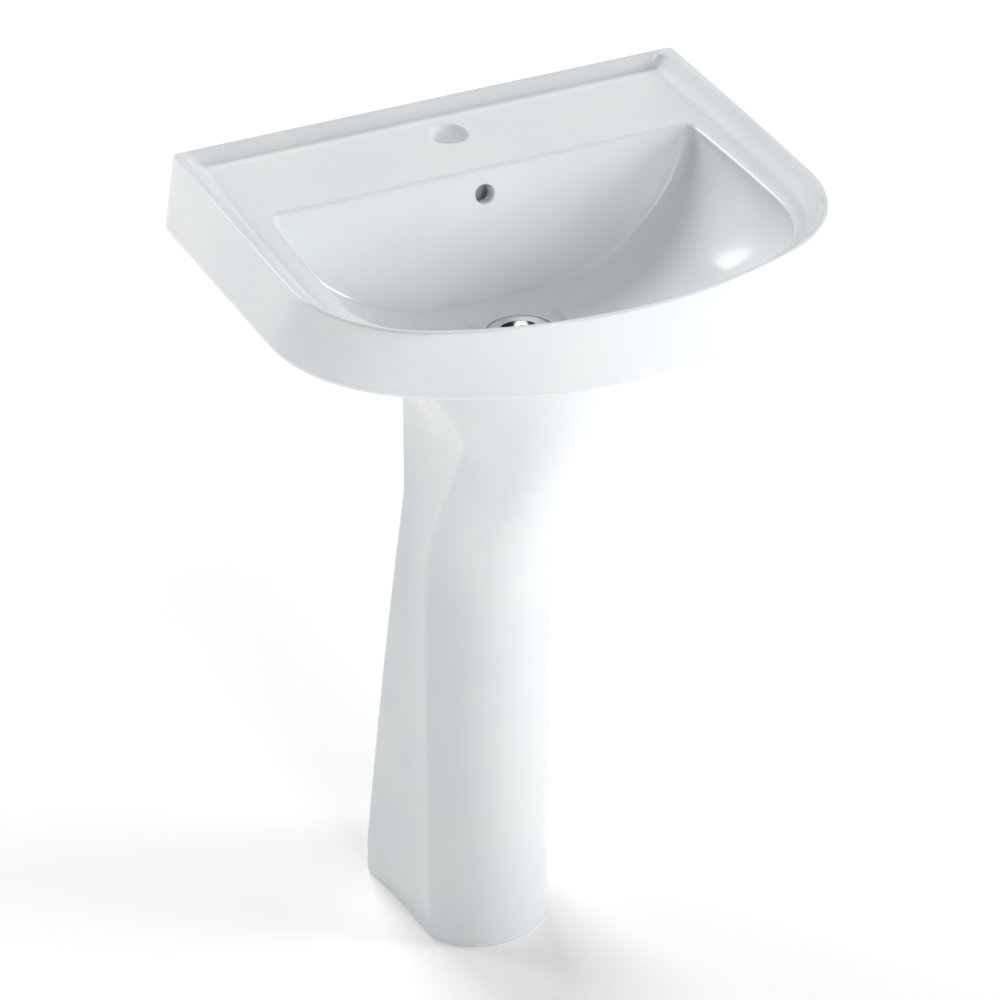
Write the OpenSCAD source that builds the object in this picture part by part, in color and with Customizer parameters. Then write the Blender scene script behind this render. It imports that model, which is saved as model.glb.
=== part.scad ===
// Pedestal sink: a D-shaped china basin on a hollow china pedestal, with its waste and P-trap.
// Millimetres, +Z up. The origin is on the floor, midway across the width and the depth.
// Modules draw with y = 0 at the wall and the front towards -Y; placed() moves them to the origin.

/* [Overall] */
// Width over the apron's foot
basin_w = 500; // [450:1:560]
// Depth from the wall to the front of the rim
basin_d = 415; // [400:1:460]
// Height of the rim above the floor
rim_h = 800; // [760:1:860]

/* [Basin rim and apron] */
// Height of the apron
apron_h = 77; // [68:1:84]
// Thickness of the apron's wall
apron_wall = 12; // [10:1:13]
// Step of each side of the rim in from the apron's foot
rim_side_in = 6; // [3:1:10]
// Further step in of the rim at the wall
rim_back_in = 3; // [0:1:8]
// Setback of the apron's foot behind the rim at the front
foot_front_in = 7; // [0:1:12]
// Radius of the rim's front corners
rim_corner_r = 130; // [110:1:140]
// Radius of the rim's front
rim_front_r = 420; // [400:1:500]
// Radius of the apron's front corners at its foot
foot_corner_r = 150; // [130:1:160]
// Radius of the apron's front at its foot
foot_front_r = 318; // [300:1:360]
// Rounding of the apron's lower edge
foot_round = 9; // [5:1:10]
// Drop from the rim to the deck
deck_drop = 12; // [8:1:14]
// Width of the sloping cove between the rim and the deck, at the sides
cove_w = 19; // [15:1:21]
// Width of the rim's flat crest, at the sides
crest_w = 6; // [4:1:8]
// Width of the flat ledge round the bowl, at the sides
ledge_w = 11; // [9:1:14]
// Width of the back lip's slope
lip_w = 8; // [6:1:10]
// Thickness of the deck
deck_t = 16; // [13:1:20]

/* [Bowl] */
// Depth of the bowl's wall, from the wall to its edge on the deck
bowl_back = 118; // [110:1:130]
// Depth of the bowl's floor at the back wall, below the rim
bowl_depth = 130; // [120:1:145]
// Forward slope of the bowl's back wall, as a share of its fall
bowl_slope = 0.2; // [0.1:0.01:0.3]
// Thickness of the bowl's wall
bowl_wall = 11; // [9:1:12]
// Radius of the bowl's front corners at the edge
bowl_corner_r = 92; // [80:1:100]
// Radius of the bowl's edge where it turns down from the deck
bowl_edge_r = 5; // [3:1:6]
// Extra fall of the floor from the back wall to the waste
waste_fall = 5; // [3:1:8]
// Distance of the waste from the wall
waste_y = 196; // [190:1:215]

/* [Holes] */
// Diameter of the tap hole
tap_hole_d = 35; // [32:1:36]
// Distance of the tap hole from the wall
tap_hole_y = 48; // [42:1:58]
// Diameter of the overflow hole
overflow_d = 17; // [12:1:20]
// Depth of the overflow hole below the rim
overflow_drop = 36; // [34:1:46]
// Diameter of the waste's hole through the china
waste_hole_d = 46; // [45:1:48]
// Diameter of the two holes for the wall's bolts
wall_hole_d = 14; // [12:1:16]
// Spacing of the two holes for the wall's bolts
wall_hole_pitch = 280; // [200:1:320]
// Depth of those holes below the rim
wall_hole_drop = 45; // [40:1:55]
// Diameter of the two holes for the floor's screws
floor_hole_d = 8; // [6:1:10]
// Spacing of the two holes for the floor's screws
floor_hole_pitch = 86; // [80:1:92]

/* [Pedestal] */
// Width of the pedestal's foot at the wall
foot_w = 136; // [130:1:165]
// Depth of the pedestal's foot, from the wall
foot_d = 168; // [150:1:200]
// Height of the foot's straight part
foot_h = 30; // [20:1:50]
// Width of the waist at its open back
waist_w = 140; // [124:1:160]
// Height where the front starts to lean forward
waist_h = 370; // [340:1:390]
// Height where the sides start to widen into the collar
shoulder_h = 555; // [520:1:580]
// Height up to which the open back's edges lean forward
back_h = 472; // [440:1:520]
// Width of the collar
collar_w = 200; // [180:1:220]
// Distance of the collar's front from the wall
collar_front = 276; // [268:1:290]
// Distance of the collar's open back from the wall
collar_back = 96; // [85:1:105]
// Narrowing of each side from the open back to the front corners
taper = 8; // [4:1:10]
// Thickness of the pedestal's wall
pedestal_wall = 11; // [9:1:13]
// Radius of the foot's front corners
nose_r = 24; // [20:1:34]
// Radius of the collar's front corners
collar_r = 80; // [70:1:84]
// Height of the two lugs for the floor's screws
lug_t = 12; // [8:1:16]

/* [Waste] */
// Diameter of the waste's flange
flange_d = 62; // [60:1:66]
// Outside diameter of the waste's threaded tail
tail_d = 41.8; // [40:0.1:42]
// Diameter of the waste's throat
throat_d = 33; // [30:0.5:35]
// Length of the waste below its flange
tail_len = 62; // [60:1:72]
// Thickness of the china at the waste
boss_t = 26; // [22:1:30]

/* [Trap] */
// Outside diameter of the tailpiece and the outlet tube
tube_d = 32; // [30:0.5:34]
// Wall of the tubes
tube_wall = 1.5; // [1:0.1:2]
// Outside diameter of the moulded bends
bend_d = 38; // [37:0.5:40]
// Wall of the moulded bends
bend_wall = 2.8; // [2.2:0.1:2.9]
// Radius of the bends' centre line
bend_r = 32; // [30:1:36]
// Height of water that the trap holds against gas
seal_h = 54; // [50:1:58]
// Diameter over the slip nuts
nut_d = 50; // [48:1:54]
// Height of the slip nuts
nut_h = 19; // [17:1:22]
// Diameter of the clean-out plug's threaded part
plug_d = 22; // [18:1:24]
// Travel of the clean-out plug
plug_travel = 8; // [6:1:10]
// Diameter of the wall flange
wall_flange_d = 66; // [60:1:80]

/* [Hidden] */

// Smoothness of round parts, and points along each stretch of a D outline
$fn = 64;
back_n = 5;
bend_n = 3;
side_n = 5;
corner_n = 8;
front_n = 6;

// Clearances: between a sliding or turning piece and its mate, and between two pieces that only meet
run_gap = 0.05;
face_gap = 0.1;

china = "white";
chrome = "silver";
rubber = "dimgray";
plastic = "whitesmoke";

// Draws children measured from the wall in the part's own frame
module placed() {
    translate([0, basin_d / 2, 0]) children();
}

function mix(a, b, t) = a + (b - a) * t;
function ease(t) = let (u = min(1, max(0, t))) u * u * (3 - 2 * u);

// ---- D outlines -------------------------------------------------------------------------------
// An outline is [half-width at the back, half-width at the sides, y of the back, y of the front,
// radius of the back corners, of the front corners, of the front].

// Points from the middle of the back to the middle of the front, on the +X side
function d_half(o) =
    let (
        rb = o[4], rc = o[5], rf = o[6],
        front_c = o[3] + rf,
        corner_x = o[1] - rc,
        corner_y = front_c - sqrt(pow(rf - rc, 2) - pow(corner_x, 2)),
        split = atan2(corner_x, front_c - corner_y),
        side_y = o[2] - rb
    )
    concat(
        [for (i = [0:back_n - 1]) [(o[0] - rb) * i / back_n, o[2]]],
        [for (i = [0:bend_n]) let (a = 90 - 90 * i / bend_n)
            [o[0] - rb + rb * cos(a), side_y + rb * sin(a)]],
        [for (i = [1:side_n - 1]) let (t = i / side_n)
            [mix(o[0], o[1], t * (2 - t)), mix(side_y, corner_y, t)]],
        [for (i = [0:corner_n]) let (a = -(90 - split) * i / corner_n)
            [corner_x + rc * cos(a), corner_y + rc * sin(a)]],
        [for (i = [1:front_n]) let (a = split * (1 - i / front_n))
            [rf * sin(a), front_c - rf * cos(a)]]
    );

// The whole outline, clockwise from above
function d_ring(o) =
    let (half = d_half(o), last = len(half) - 1)
    concat(half, [for (i = [last - 1:-1:1]) [-half[i].x, half[i].y]]);

// The same outline, larger all round by e; its back corners stay round when it shrinks
function grown(o, e) =
    let (g = o + e * [1, 1, 1, -1, 1, 1, 1])
    [g[0], g[1], g[2], g[3], max(1, g[4]), g[5], g[6]];

// An outline's ring drawn at height z
function level(o, z) = [for (p = d_ring(o)) [p.x, p.y, z]];

// A circle about the waste, with a point for each point of outline o
function round_level(o, r, z) =
    [for (p = d_ring(o)) let (v = p + [0, waste_y]) [v.x * r / norm(v), v.y * r / norm(v) - waste_y, z]];

// Triangles between rings that run down the outside of a solid, or up its inside; a closed skin
// joins the last ring to the first
function skin_faces(rings, n, closed) =
    [for (i = [0:rings - (closed ? 1 : 2)], j = [0:n - 1])
        let (
            k = (i + 1) % rings,
            m = (j + 1) % n,
            a = i * n + j,
            b = i * n + m,
            c = k * n + m,
            d = k * n + j
        )
        each [[a, c, b], [a, d, c]]];

module skin(rings) {
    n = len(rings[0]);
    polyhedron(
        points = [for (ring = rings, p = ring) p],
        faces = skin_faces(len(rings), n, true),
        convexity = 10
    );
}

// ---- Basin ------------------------------------------------------------------------------------
deck_z = rim_h - deck_drop;
deck_under = deck_z - deck_t;
apron_foot = rim_h - apron_h;
half_w = basin_w / 2;
rim_side = half_w - rim_side_in;
bowl_top = deck_z - bowl_edge_r;
bowl_floor = rim_h - bowl_depth;
waste_z = bowl_floor - waste_fall;
boss_under = waste_z - boss_t;
flange_recess = 2.5;
top_seal_t = 1.5;
seat_z = waste_z - flange_recess - top_seal_t;
boss_r = 45;
pilot_r = 16;
front_land = 6;

// Outlines, from the outside of the rim to the bowl's edge, and the apron's foot
rim_o = [rim_side - rim_back_in, rim_side, 0, -basin_d, 2, rim_corner_r, rim_front_r];
foot_o = [half_w, half_w, 0, foot_front_in - basin_d, 2, foot_corner_r, foot_front_r];
crest_o = [
    rim_side - crest_w - 2 * rim_back_in, rim_side - crest_w, -4, front_land - basin_d,
    12, rim_corner_r - crest_w, rim_front_r - front_land
];
ledge_o = [
    crest_o[1] - cove_w - 3, crest_o[1] - cove_w, -4 - lip_w, 2 * front_land - basin_d,
    6, rim_corner_r - cove_w, rim_front_r - 2 * front_land
];
bowl_side = ledge_o[1] - ledge_w - bowl_edge_r / 2;
bowl_front = basin_d - 3.5 * front_land;
bowl_front_r = 395;
bowl_back_r = 10;

// The bowl's wall turns from upright at the edge to level at the floor as a runs from 0 to 90
side_power = 0.71;
fall_power = 1.33;
edge_a = 25;
floor_a = 84;
function bowl_narrow(a) = pow(cos(a), side_power);
function bowl_z(a, t) = bowl_top - (bowl_top - bowl_floor + t) * pow(sin(a), fall_power);

// The bowl's outline at angle a, t outside its face, with its back wall taken at height z
function bowl_o(a, t, z) =
    let (k = bowl_narrow(a), reach = bowl_front - waste_y)
    [
        (bowl_side - bowl_edge_r) * k + t,
        bowl_side * k + t,
        -bowl_back - bowl_slope * (bowl_top - z) + t,
        -waste_y - reach * k - t,
        bowl_back_r,
        mix(bowl_side * 0.82, bowl_corner_r, k) * k + t,
        mix(bowl_side * 1.1, bowl_front_r, k) * k + t
    ];
function bowl_level(a, t) = let (z = bowl_z(a, t)) level(bowl_o(a, t, z), z);

// Underside of the deck near the wall, dropping to clear the bowl's wall further forward
recess_low = bowl_z(edge_a, 0);
function recess_z(y) = mix(deck_under, recess_low, ease((-y - bowl_back + 25) / 35));
function recess_level(o) = [for (p = d_ring(o)) [p.x, p.y, recess_z(p.y)]];

// The cove rises from the ledge, slowly at first
cove_power = 1.6;
crest_drop = 2.5;
function cove_level(t) =
    level(mix(ledge_o, crest_o, t), deck_z + (deck_drop - crest_drop) * pow(t, cove_power));

module basin_casting() {
    floor_o = bowl_o(floor_a, 0, bowl_floor);
    under_o = bowl_o(floor_a - 6, bowl_wall, bowl_floor);
    far_o = grown(mix(rim_o, foot_o, 0.4), -apron_wall);
    near_o = bowl_o(edge_a - 2, bowl_wall, deck_under);
    skin(concat(
        [round_level(floor_o, pilot_r, boss_under), round_level(floor_o, pilot_r, seat_z)],
        [round_level(floor_o, flange_d / 2 + 1, seat_z), round_level(floor_o, flange_d / 2 + 1, waste_z)],
        [round_level(floor_o, flange_d / 2 + 5, waste_z + 0.6)],
        [for (a = [floor_a, 78, 70, 60, 50, 40, 30, 20, 10, 0]) bowl_level(a, 0)],
        [level(grown(bowl_o(0, 0, bowl_top), bowl_edge_r * 0.3), deck_z - bowl_edge_r * 0.3)],
        [level(grown(bowl_o(0, 0, bowl_top), bowl_edge_r), deck_z)],
        [for (t = [0, 0.3, 0.65, 1]) cove_level(t)],
        [level(mix(crest_o, rim_o, 0.35), rim_h - 0.3), level(mix(crest_o, rim_o, 0.65), rim_h)],
        [level(grown(rim_o, -0.6), rim_h - 0.8), level(rim_o, rim_h - 3)],
        [for (t = [0.33, 0.67, 1])
            level(mix(rim_o, foot_o, t), mix(rim_h - 3, apron_foot + foot_round, t))],
        [level(grown(foot_o, -foot_round * 0.3), apron_foot + foot_round * 0.3)],
        [level(grown(foot_o, -foot_round), apron_foot)],
        [level(grown(foot_o, -apron_wall), apron_foot + 3)],
        [for (t = [0, 0.83, 1]) recess_level(mix(far_o, near_o, t))],
        [for (a = [32, 40, 50, 60, 70, 78]) bowl_level(a, bowl_wall)],
        [round_level(under_o, boss_r + 5, waste_z - bowl_wall), round_level(under_o, boss_r, boss_under)]
    ));
}

// Overflow: a cast rib behind the bowl's back wall, with a duct from the hole to the waste
duct_w = 22;
duct_depth = 12;
rib_wall = 9;
duct_low = waste_z - 10;
function back_wall_y(z) = -bowl_back - bowl_slope * (bowl_top - z);

module overflow_rib() {
    outer = bowl_wall + duct_depth + rib_wall;
    points = [
        [back_wall_y(bowl_top) + bowl_wall / 2, deck_z - deck_t / 2],
        [back_wall_y(bowl_top) + outer, deck_z - deck_t / 2],
        [back_wall_y(boss_under) + outer, boss_under],
        [boss_r * 0.6 - waste_y, boss_under],
        [boss_r * 0.8 - waste_y, waste_z - flange_recess],
        [back_wall_y(bowl_floor) + bowl_wall / 2, bowl_floor]
    ];
    rotate([90, 0, 90]) linear_extrude(duct_w + 2 * rib_wall, center = true) polygon(points);
}

module overflow_duct() {
    inner = bowl_wall + 1;
    overflow_z = rim_h - overflow_drop;
    duct_top = overflow_z + overflow_d / 2;
    points = [
        [back_wall_y(duct_top) + inner, duct_top],
        [back_wall_y(duct_top) + inner + duct_depth, duct_top],
        [back_wall_y(boss_under) + inner + duct_depth, duct_low - duct_depth],
        [-waste_y, duct_low - duct_depth],
        [-waste_y, duct_low],
        [back_wall_y(duct_low) + inner, duct_low]
    ];
    rotate([90, 0, 90]) linear_extrude(duct_w, center = true) polygon(points);
    translate([0, back_wall_y(overflow_z) + inner + 1, overflow_z])
        rotate([90, 0, 0]) cylinder(h = inner + bowl_edge_r * 2, d = overflow_d);
}

module basin() {
    color(china) placed() difference() {
        union() {
            basin_casting();
            overflow_rib();
        }
        overflow_duct();
        translate([0, -waste_y, boss_under - 1]) cylinder(h = boss_t, d = waste_hole_d);
        translate([0, -tap_hole_y, deck_under - 1]) cylinder(h = deck_t + 2, d = tap_hole_d);
        for (side = [-1, 1])
            translate([side * wall_hole_pitch / 2, 1, rim_h - wall_hole_drop])
                rotate([90, 0, 0]) cylinder(h = apron_wall + 8, d = wall_hole_d);
    }
}

// ---- Pedestal ---------------------------------------------------------------------------------
// The collar ends just under the bowl, where the bowl's underside crosses the collar's inner front
collar_gap = 1.2;
collar_k = (collar_front - pedestal_wall - bowl_wall - waste_y) / (bowl_front - waste_y);
collar_z = bowl_z(acos(pow(collar_k, 1 / side_power)), bowl_wall) - collar_gap;
back_power = 1.1;
collar_taper = 10;

// How much flatter the front is than its corners: near 1 is a round nose
nose_flat = 1.16;
collar_flat = 2.5;

// The pedestal's outline at height z: a waisted column that leans forward into its collar
function pedestal_o(z) =
    let (
        forward = ease((z - waist_h) / (collar_z - waist_h)),
        widen = ease((z - shoulder_h) / (collar_z - shoulder_h)),
        low = 1 - ease((z - foot_h) / (waist_h - foot_h)),
        lean = pow(min(1, max(0, (z - foot_h) / (back_h - foot_h))), back_power),
        half = mix(mix(waist_w, foot_w, low), collar_w, widen) / 2,
        side = half - taper * (1 - widen),
        corner = mix(nose_r, collar_r, widen)
    )
    [
        half - collar_taper * widen, side, -collar_back * lean, mix(-foot_d, -collar_front, forward),
        1, corner, corner + (side - corner) * mix(nose_flat, collar_flat, widen)
    ];

// Points of one level: round the outside from the right back edge, and back along the inside
function pedestal_level(z) =
    let (
        o = pedestal_o(z),
        inner = grown(o, -pedestal_wall),
        outside = d_half(o),
        inside = d_half([inner[0], inner[1], o[2], inner[3], 1, inner[5], inner[6]]),
        skip = back_n + bend_n,
        last = len(outside) - 1,
        right_out = [for (i = [skip:last]) outside[i]],
        right_in = [for (i = [skip:last]) inside[i]],
        n = len(right_out)
    )
    [
        for (i = [0:n - 1]) [right_out[i].x, right_out[i].y, z],
        for (i = [n - 2:-1:0]) [-right_out[i].x, right_out[i].y, z],
        for (i = [0:n - 1]) [-right_in[i].x, right_in[i].y, z],
        for (i = [n - 2:-1:0]) [right_in[i].x, right_in[i].y, z]
    ];

// The shell's skin with flat ends, each a strip between the outside and the inside
module pedestal_shell() {
    zs = concat(
        [for (i = [0:13]) mix(collar_z, waist_h, i / 13)],
        [for (i = [1:6]) mix(waist_h, foot_h, i / 6)],
        [0]
    );
    rings = [for (z = zs) pedestal_level(z)];
    n = len(rings[0]);
    foot = (len(rings) - 1) * n;
    ends = [for (i = [0:n / 2 - 2]) each [
        [i, i + 1, n - 1 - i],
        [i + 1, n - 2 - i, n - 1 - i],
        [foot + i, foot + n - 1 - i, foot + i + 1],
        [foot + i + 1, foot + n - 1 - i, foot + n - 2 - i]
    ]];
    polyhedron(
        points = [for (ring = rings, p = ring) p],
        faces = concat(skin_faces(len(rings), n, false), ends),
        convexity = 10
    );
}

lug_y = 24;
lug_l = 30;
module pedestal() {
    lug_w = foot_w / 2 - floor_hole_pitch / 2 + floor_hole_d + 2;
    color(china) placed() difference() {
        union() {
            pedestal_shell();
            for (side = [-1, 1])
                translate([side * (foot_w / 2 - pedestal_wall / 2 - lug_w / 2), -lug_y, lug_t / 2])
                    cube([lug_w, lug_l, lug_t], center = true);
        }
        for (side = [-1, 1])
            translate([side * floor_hole_pitch / 2, -lug_y, -1])
                cylinder(h = lug_t + 2, d = floor_hole_d);
    }
}

// ---- Waste ------------------------------------------------------------------------------------
// Places children on the waste's axis with z = 0 at the given height
module on_waste(z) {
    placed() translate([0, -waste_y, z]) children();
}

// A ring of rectangular section from z = 0 up
module ring(d_out, d_in, h) {
    difference() {
        cylinder(h = h, d = d_out);
        translate([0, 0, -1]) cylinder(h = h + 2, d = d_in);
    }
}

// A ring whose outside narrows towards the top
module taper_ring(d_low, d_high, d_in, h) {
    rotate_extrude() polygon([
        [d_in / 2, 0],
        [d_low / 2, 0],
        [d_low / 2, h / 3],
        [d_high / 2, h],
        [d_in / 2, h]
    ]);
}

// A hexagon nut with a plain bore
module hex_nut(across, d_in, h) {
    difference() {
        cylinder(h = h, d = across / cos(30), $fn = 6);
        translate([0, 0, -1]) cylinder(h = h + 2, d = d_in);
    }
}

flange_t = flange_recess + 0.5;
tail_foot = waste_z - tail_len;
slot_w = 14;
slot_h = 18;
bar_t = 3;

// A strainer or plug sits in a wider bore that ends so far below the flange, above the crossed bars
throat_seat = 17;
bar_drop = 22;

module waste_body() {
    throat = throat_d / 2;
    rim = flange_d / 2;
    tail = tail_d / 2;
    color(chrome) on_waste(tail_foot) difference() {
        union() {
            rotate_extrude() polygon([
                [throat, 0],
                [tail, 0],
                [tail, tail_len - flange_recess],
                [rim, tail_len - flange_recess],
                [rim, tail_len - 1],
                [rim - 2, tail_len + flange_t - flange_recess],
                [throat + 6, tail_len - 1],
                [throat + 1, tail_len - 3],
                [throat + 1, tail_len - throat_seat],
                [throat, tail_len - throat_seat]
            ]);
            for (a = [0, 90])
                rotate(a) translate([-throat - 1, -bar_t / 2, tail_len - bar_drop])
                    cube([throat_d + 2, bar_t, bar_t]);
        }
        for (side = [-1, 1])
            translate([0, side * tail, duct_low - duct_depth - 3 - tail_foot + slot_h / 2])
                cube([slot_w, tail, slot_h], center = true);
    }
}

module waste_top_seal() {
    color(rubber) on_waste(seat_z) ring(flange_d - 2, tail_d, top_seal_t);
}

lower_seal_t = 7;
slip_t = 2;
backnut_h = 10;
lower_seal_z = boss_under - lower_seal_t;
slip_z = lower_seal_z - slip_t;
backnut_z = slip_z - backnut_h;

module waste_lower_seal() {
    color(rubber) on_waste(lower_seal_z) ring(tail_d + 20, tail_d, lower_seal_t);
}

module waste_slip_washer() {
    color(plastic) on_waste(slip_z) ring(tail_d + 20, tail_d, slip_t);
}

module waste_backnut() {
    color("gold") on_waste(backnut_z) hex_nut(tail_d + 12, tail_d, backnut_h);
}

// ---- P-trap -----------------------------------------------------------------------------------
tube_bore = tube_d - 2 * tube_wall;
bend_bore = bend_d - 2 * bend_wall;
washer_t = 3;
lip_t = 2.5;
nut_wall = 3;
tail_washer_z = tail_foot - washer_t;
tail_flange_z = tail_washer_z - lip_t;
tail_nut_z = tail_flange_z - nut_wall;

// The U-bend hangs so far under the waste that its mouth takes the tailpiece's end
inlet_mouth = tail_nut_z - 12;
bend_z = inlet_mouth - 26;
dip_z = bend_z - bend_r + bend_bore / 2;
outlet_z = dip_z + seal_h + tube_bore / 2;
outlet_leg_y = waste_y - 2 * bend_r;
union_z = mix(bend_z, outlet_z - bend_r, 0.7);
elbow_end = outlet_leg_y - bend_r;
socket_len = 22;
socket_d = bend_d + 4;
tailpiece_foot = bend_z + 4;

// Part of a hollow round ring in the YZ plane, from angle a0, which is 0 at +Y and 90 at +Z
module arc_tube(r, d_out, d_in, a0, sweep) {
    rotate([90, 0, 90]) rotate([0, 0, a0]) rotate_extrude(angle = sweep) translate([r, 0]) difference() {
        circle(d = d_out);
        if (d_in > 0) circle(d = d_in);
    }
}

module tailpiece() {
    flange = tail_d - 1;
    tall = tail_washer_z - tailpiece_foot;
    color(chrome) on_waste(tailpiece_foot) difference() {
        union() {
            cylinder(h = tall, d = tube_d);
            translate([0, 0, tall - lip_t]) cylinder(h = lip_t, d = flange);
        }
        translate([0, 0, -1]) cylinder(h = tall + 2, d = tube_bore);
    }
}

module tailpiece_washer() {
    color(rubber) on_waste(tail_washer_z) ring(tail_d - 1, tube_bore, washer_t);
}

module tailpiece_nut() {
    thread = 10;
    tall = tail_foot + thread - tail_nut_z;
    color(chrome) on_waste(tail_nut_z) difference() {
        cylinder(h = tall, d = (tail_d + 8) / cos(30), $fn = 6);
        translate([0, 0, -1]) cylinder(h = tall, d = tube_d + 0.6);
        translate([0, 0, nut_wall]) cylinder(h = tall, d = tail_d);
    }
}

// A slip nut: an end wall that clears the tube, a threaded skirt over the socket, and grip ribs
rib_count = 8;
module slip_nut(skirt_d) {
    difference() {
        union() {
            cylinder(h = nut_h, d = nut_d - 3);
            for (i = [0:rib_count - 1])
                rotate(i * 360 / rib_count) translate([nut_d / 2 - 3, -2.5, 2]) cube([3, 5, nut_h - 4]);
        }
        translate([0, 0, -1]) cylinder(h = nut_h - nut_wall + 1, d = skirt_d);
        cylinder(h = nut_h + 1, d = tube_d + 0.6);
    }
}

slip_seal_h = 6;
// A slip joint's tapered seal, which sits in the socket's mouth
module slip_seal() {
    taper_ring(socket_d - 1, tube_d + 3, tube_d, slip_seal_h);
}

module trap_inlet_seal() {
    color(rubber) on_waste(inlet_mouth) slip_seal();
}

module trap_inlet_nut() {
    color(plastic) on_waste(inlet_mouth + slip_seal_h + nut_wall - nut_h) slip_nut(socket_d);
}

// The U-bend: inlet socket, half ring, outlet leg with a threaded end, and the clean-out boss
boss_out_d = plug_d + 8;
boss_foot = bend_z - bend_r - bend_d / 2 - 5;
boss_h = 14;
collar_h = 8;
module trap_bend() {
    leg_h = inlet_mouth - socket_len - bend_z;
    color(plastic) placed() translate([0, -waste_y + bend_r, bend_z]) difference() {
        union() {
            arc_tube(bend_r, bend_d, bend_bore, 180, 180);
            translate([0, -bend_r, 0]) ring(bend_d, tube_d, leg_h);
            translate([0, -bend_r, leg_h]) ring(socket_d, tube_d, socket_len);
            translate([0, bend_r, 0]) ring(bend_d, bend_bore, union_z - bend_z - collar_h);
            translate([0, bend_r, union_z - bend_z - collar_h]) ring(socket_d, bend_bore, collar_h);
            difference() {
                translate([0, 0, boss_foot - bend_z]) cylinder(h = boss_h, d = boss_out_d);
                arc_tube(bend_r, (bend_d + bend_bore) / 2, 0, 210, 120);
            }
        }
        translate([0, 0, boss_foot - bend_z - 1]) cylinder(h = boss_h + 10, d = plug_d);
    }
}

// Clean-out plug: a stem in the boss, a head below it, and a bar to turn it by
plug_head_t = 4;
plug_seal_t = 2;
plug_head_z = boss_foot - plug_seal_t - 2 * face_gap - plug_head_t;
module cleanout_plug() {
    stem = plug_seal_t + plug_head_t + plug_travel + 2;
    grip = 7;
    color(plastic) placed() translate([0, -waste_y + bend_r, plug_head_z]) difference() {
        union() {
            cylinder(h = stem, d = plug_d - 2 * run_gap);
            cylinder(h = plug_head_t, d = boss_out_d);
            translate([0, 0, -grip / 2]) cube([boss_out_d - 6, 6, grip + 1], center = true);
        }
        translate([0, 0, plug_head_t]) cylinder(h = stem, d = plug_d - 6);
    }
}

module cleanout_seal() {
    color(rubber) placed() translate([0, -waste_y + bend_r, plug_head_z + plug_head_t + face_gap])
        ring(boss_out_d - 1, plug_d, plug_seal_t);
}

// Union between the U-bend and the quarter bend
union_washer_t = 2.5;
elbow_flange_t = 3;
elbow_z = union_z + union_washer_t;
module on_outlet_leg(z) {
    placed() translate([0, -outlet_leg_y, z]) children();
}

module trap_union_seal() {
    color(rubber) on_outlet_leg(union_z) ring(socket_d - 1, bend_bore, union_washer_t);
}

module trap_union_nut() {
    low = 14;
    tall = low + union_washer_t + elbow_flange_t + nut_wall;
    color(plastic) on_outlet_leg(union_z - low) difference() {
        union() {
            cylinder(h = tall, d = nut_d - 1);
            for (i = [0:rib_count - 1])
                rotate((i + 0.5) * 360 / rib_count) translate([nut_d / 2 - 3, -2.5, 2]) cube([4, 5, tall - 4]);
        }
        translate([0, 0, -1]) cylinder(h = tall - nut_wall + 1, d = socket_d);
        cylinder(h = tall + 1, d = bend_d + 0.6);
    }
}

// The quarter bend: a flange on the washer, a quarter ring, and a socket for the outlet tube
elbow_socket = 18;
elbow_stop = 2;
module outlet_bend() {
    centre_z = outlet_z - bend_r;
    color(plastic) placed() union() {
        translate([0, -outlet_leg_y, elbow_z]) ring(socket_d - 0.6, bend_bore, elbow_flange_t);
        translate([0, -outlet_leg_y, elbow_z + elbow_flange_t])
            ring(bend_d, bend_bore, centre_z - elbow_z - elbow_flange_t);
        translate([0, -elbow_end, centre_z]) arc_tube(bend_r, bend_d, bend_bore, 90, 90);
        translate([0, -elbow_end, outlet_z]) rotate([-90, 0, 0]) {
            ring(socket_d, bend_bore, elbow_stop);
            translate([0, 0, elbow_stop]) ring(socket_d, tube_d, elbow_socket - elbow_stop);
        }
    }
}

// Places children on the outlet's axis, y from the wall, with their own +Z towards the wall
module on_outlet(y) {
    placed() translate([0, -y, outlet_z]) rotate([-90, 0, 0]) children();
}

outlet_mouth = elbow_end - elbow_socket;
module outlet_tube() {
    color(chrome) on_outlet(elbow_end - elbow_stop) ring(tube_d, tube_bore, elbow_end - elbow_stop);
}

module outlet_seal() {
    color(rubber) on_outlet(outlet_mouth) slip_seal();
}

module outlet_nut() {
    color(plastic) on_outlet(outlet_mouth - slip_seal_h - nut_wall + nut_h) slip_nut(socket_d);
}

// Wall flange: a thin domed plate with a collar that slides on the outlet tube
flange_plate = 2;
flange_rise = 9;
module wall_flange() {
    bore = tube_d / 2 + run_gap;
    rim = wall_flange_d / 2;
    color(chrome) on_outlet(face_gap) mirror([0, 0, 1]) rotate_extrude() polygon([
        [bore, 0],
        [rim, 0],
        [rim, flange_plate],
        [bore + 6, flange_rise - 4],
        [bore + 2, flange_rise],
        [bore, flange_rise]
    ]);
}

basin();
pedestal();
waste_body();
waste_top_seal();
waste_lower_seal();
waste_slip_washer();
waste_backnut();
tailpiece();
tailpiece_nut();
tailpiece_washer();
trap_bend();
trap_inlet_nut();
trap_inlet_seal();
cleanout_plug();
cleanout_seal();
trap_union_nut();
trap_union_seal();
outlet_bend();
outlet_nut();
outlet_seal();
outlet_tube();
wall_flange();
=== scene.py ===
"""Pedestal sink: a glazed china basin on a china pedestal, with its chrome waste and moulded trap.

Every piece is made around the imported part, in metres in the part's own frame, and rides on one of
its bodies. Sizes are written in millimetres, with y = 0 at the wall and the front towards -Y.
"""

import logging
import math
from dataclasses import dataclass, replace
from enum import Enum
from typing import Any

import bmesh
import bpy
from mathutils import Matrix, Vector


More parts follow.
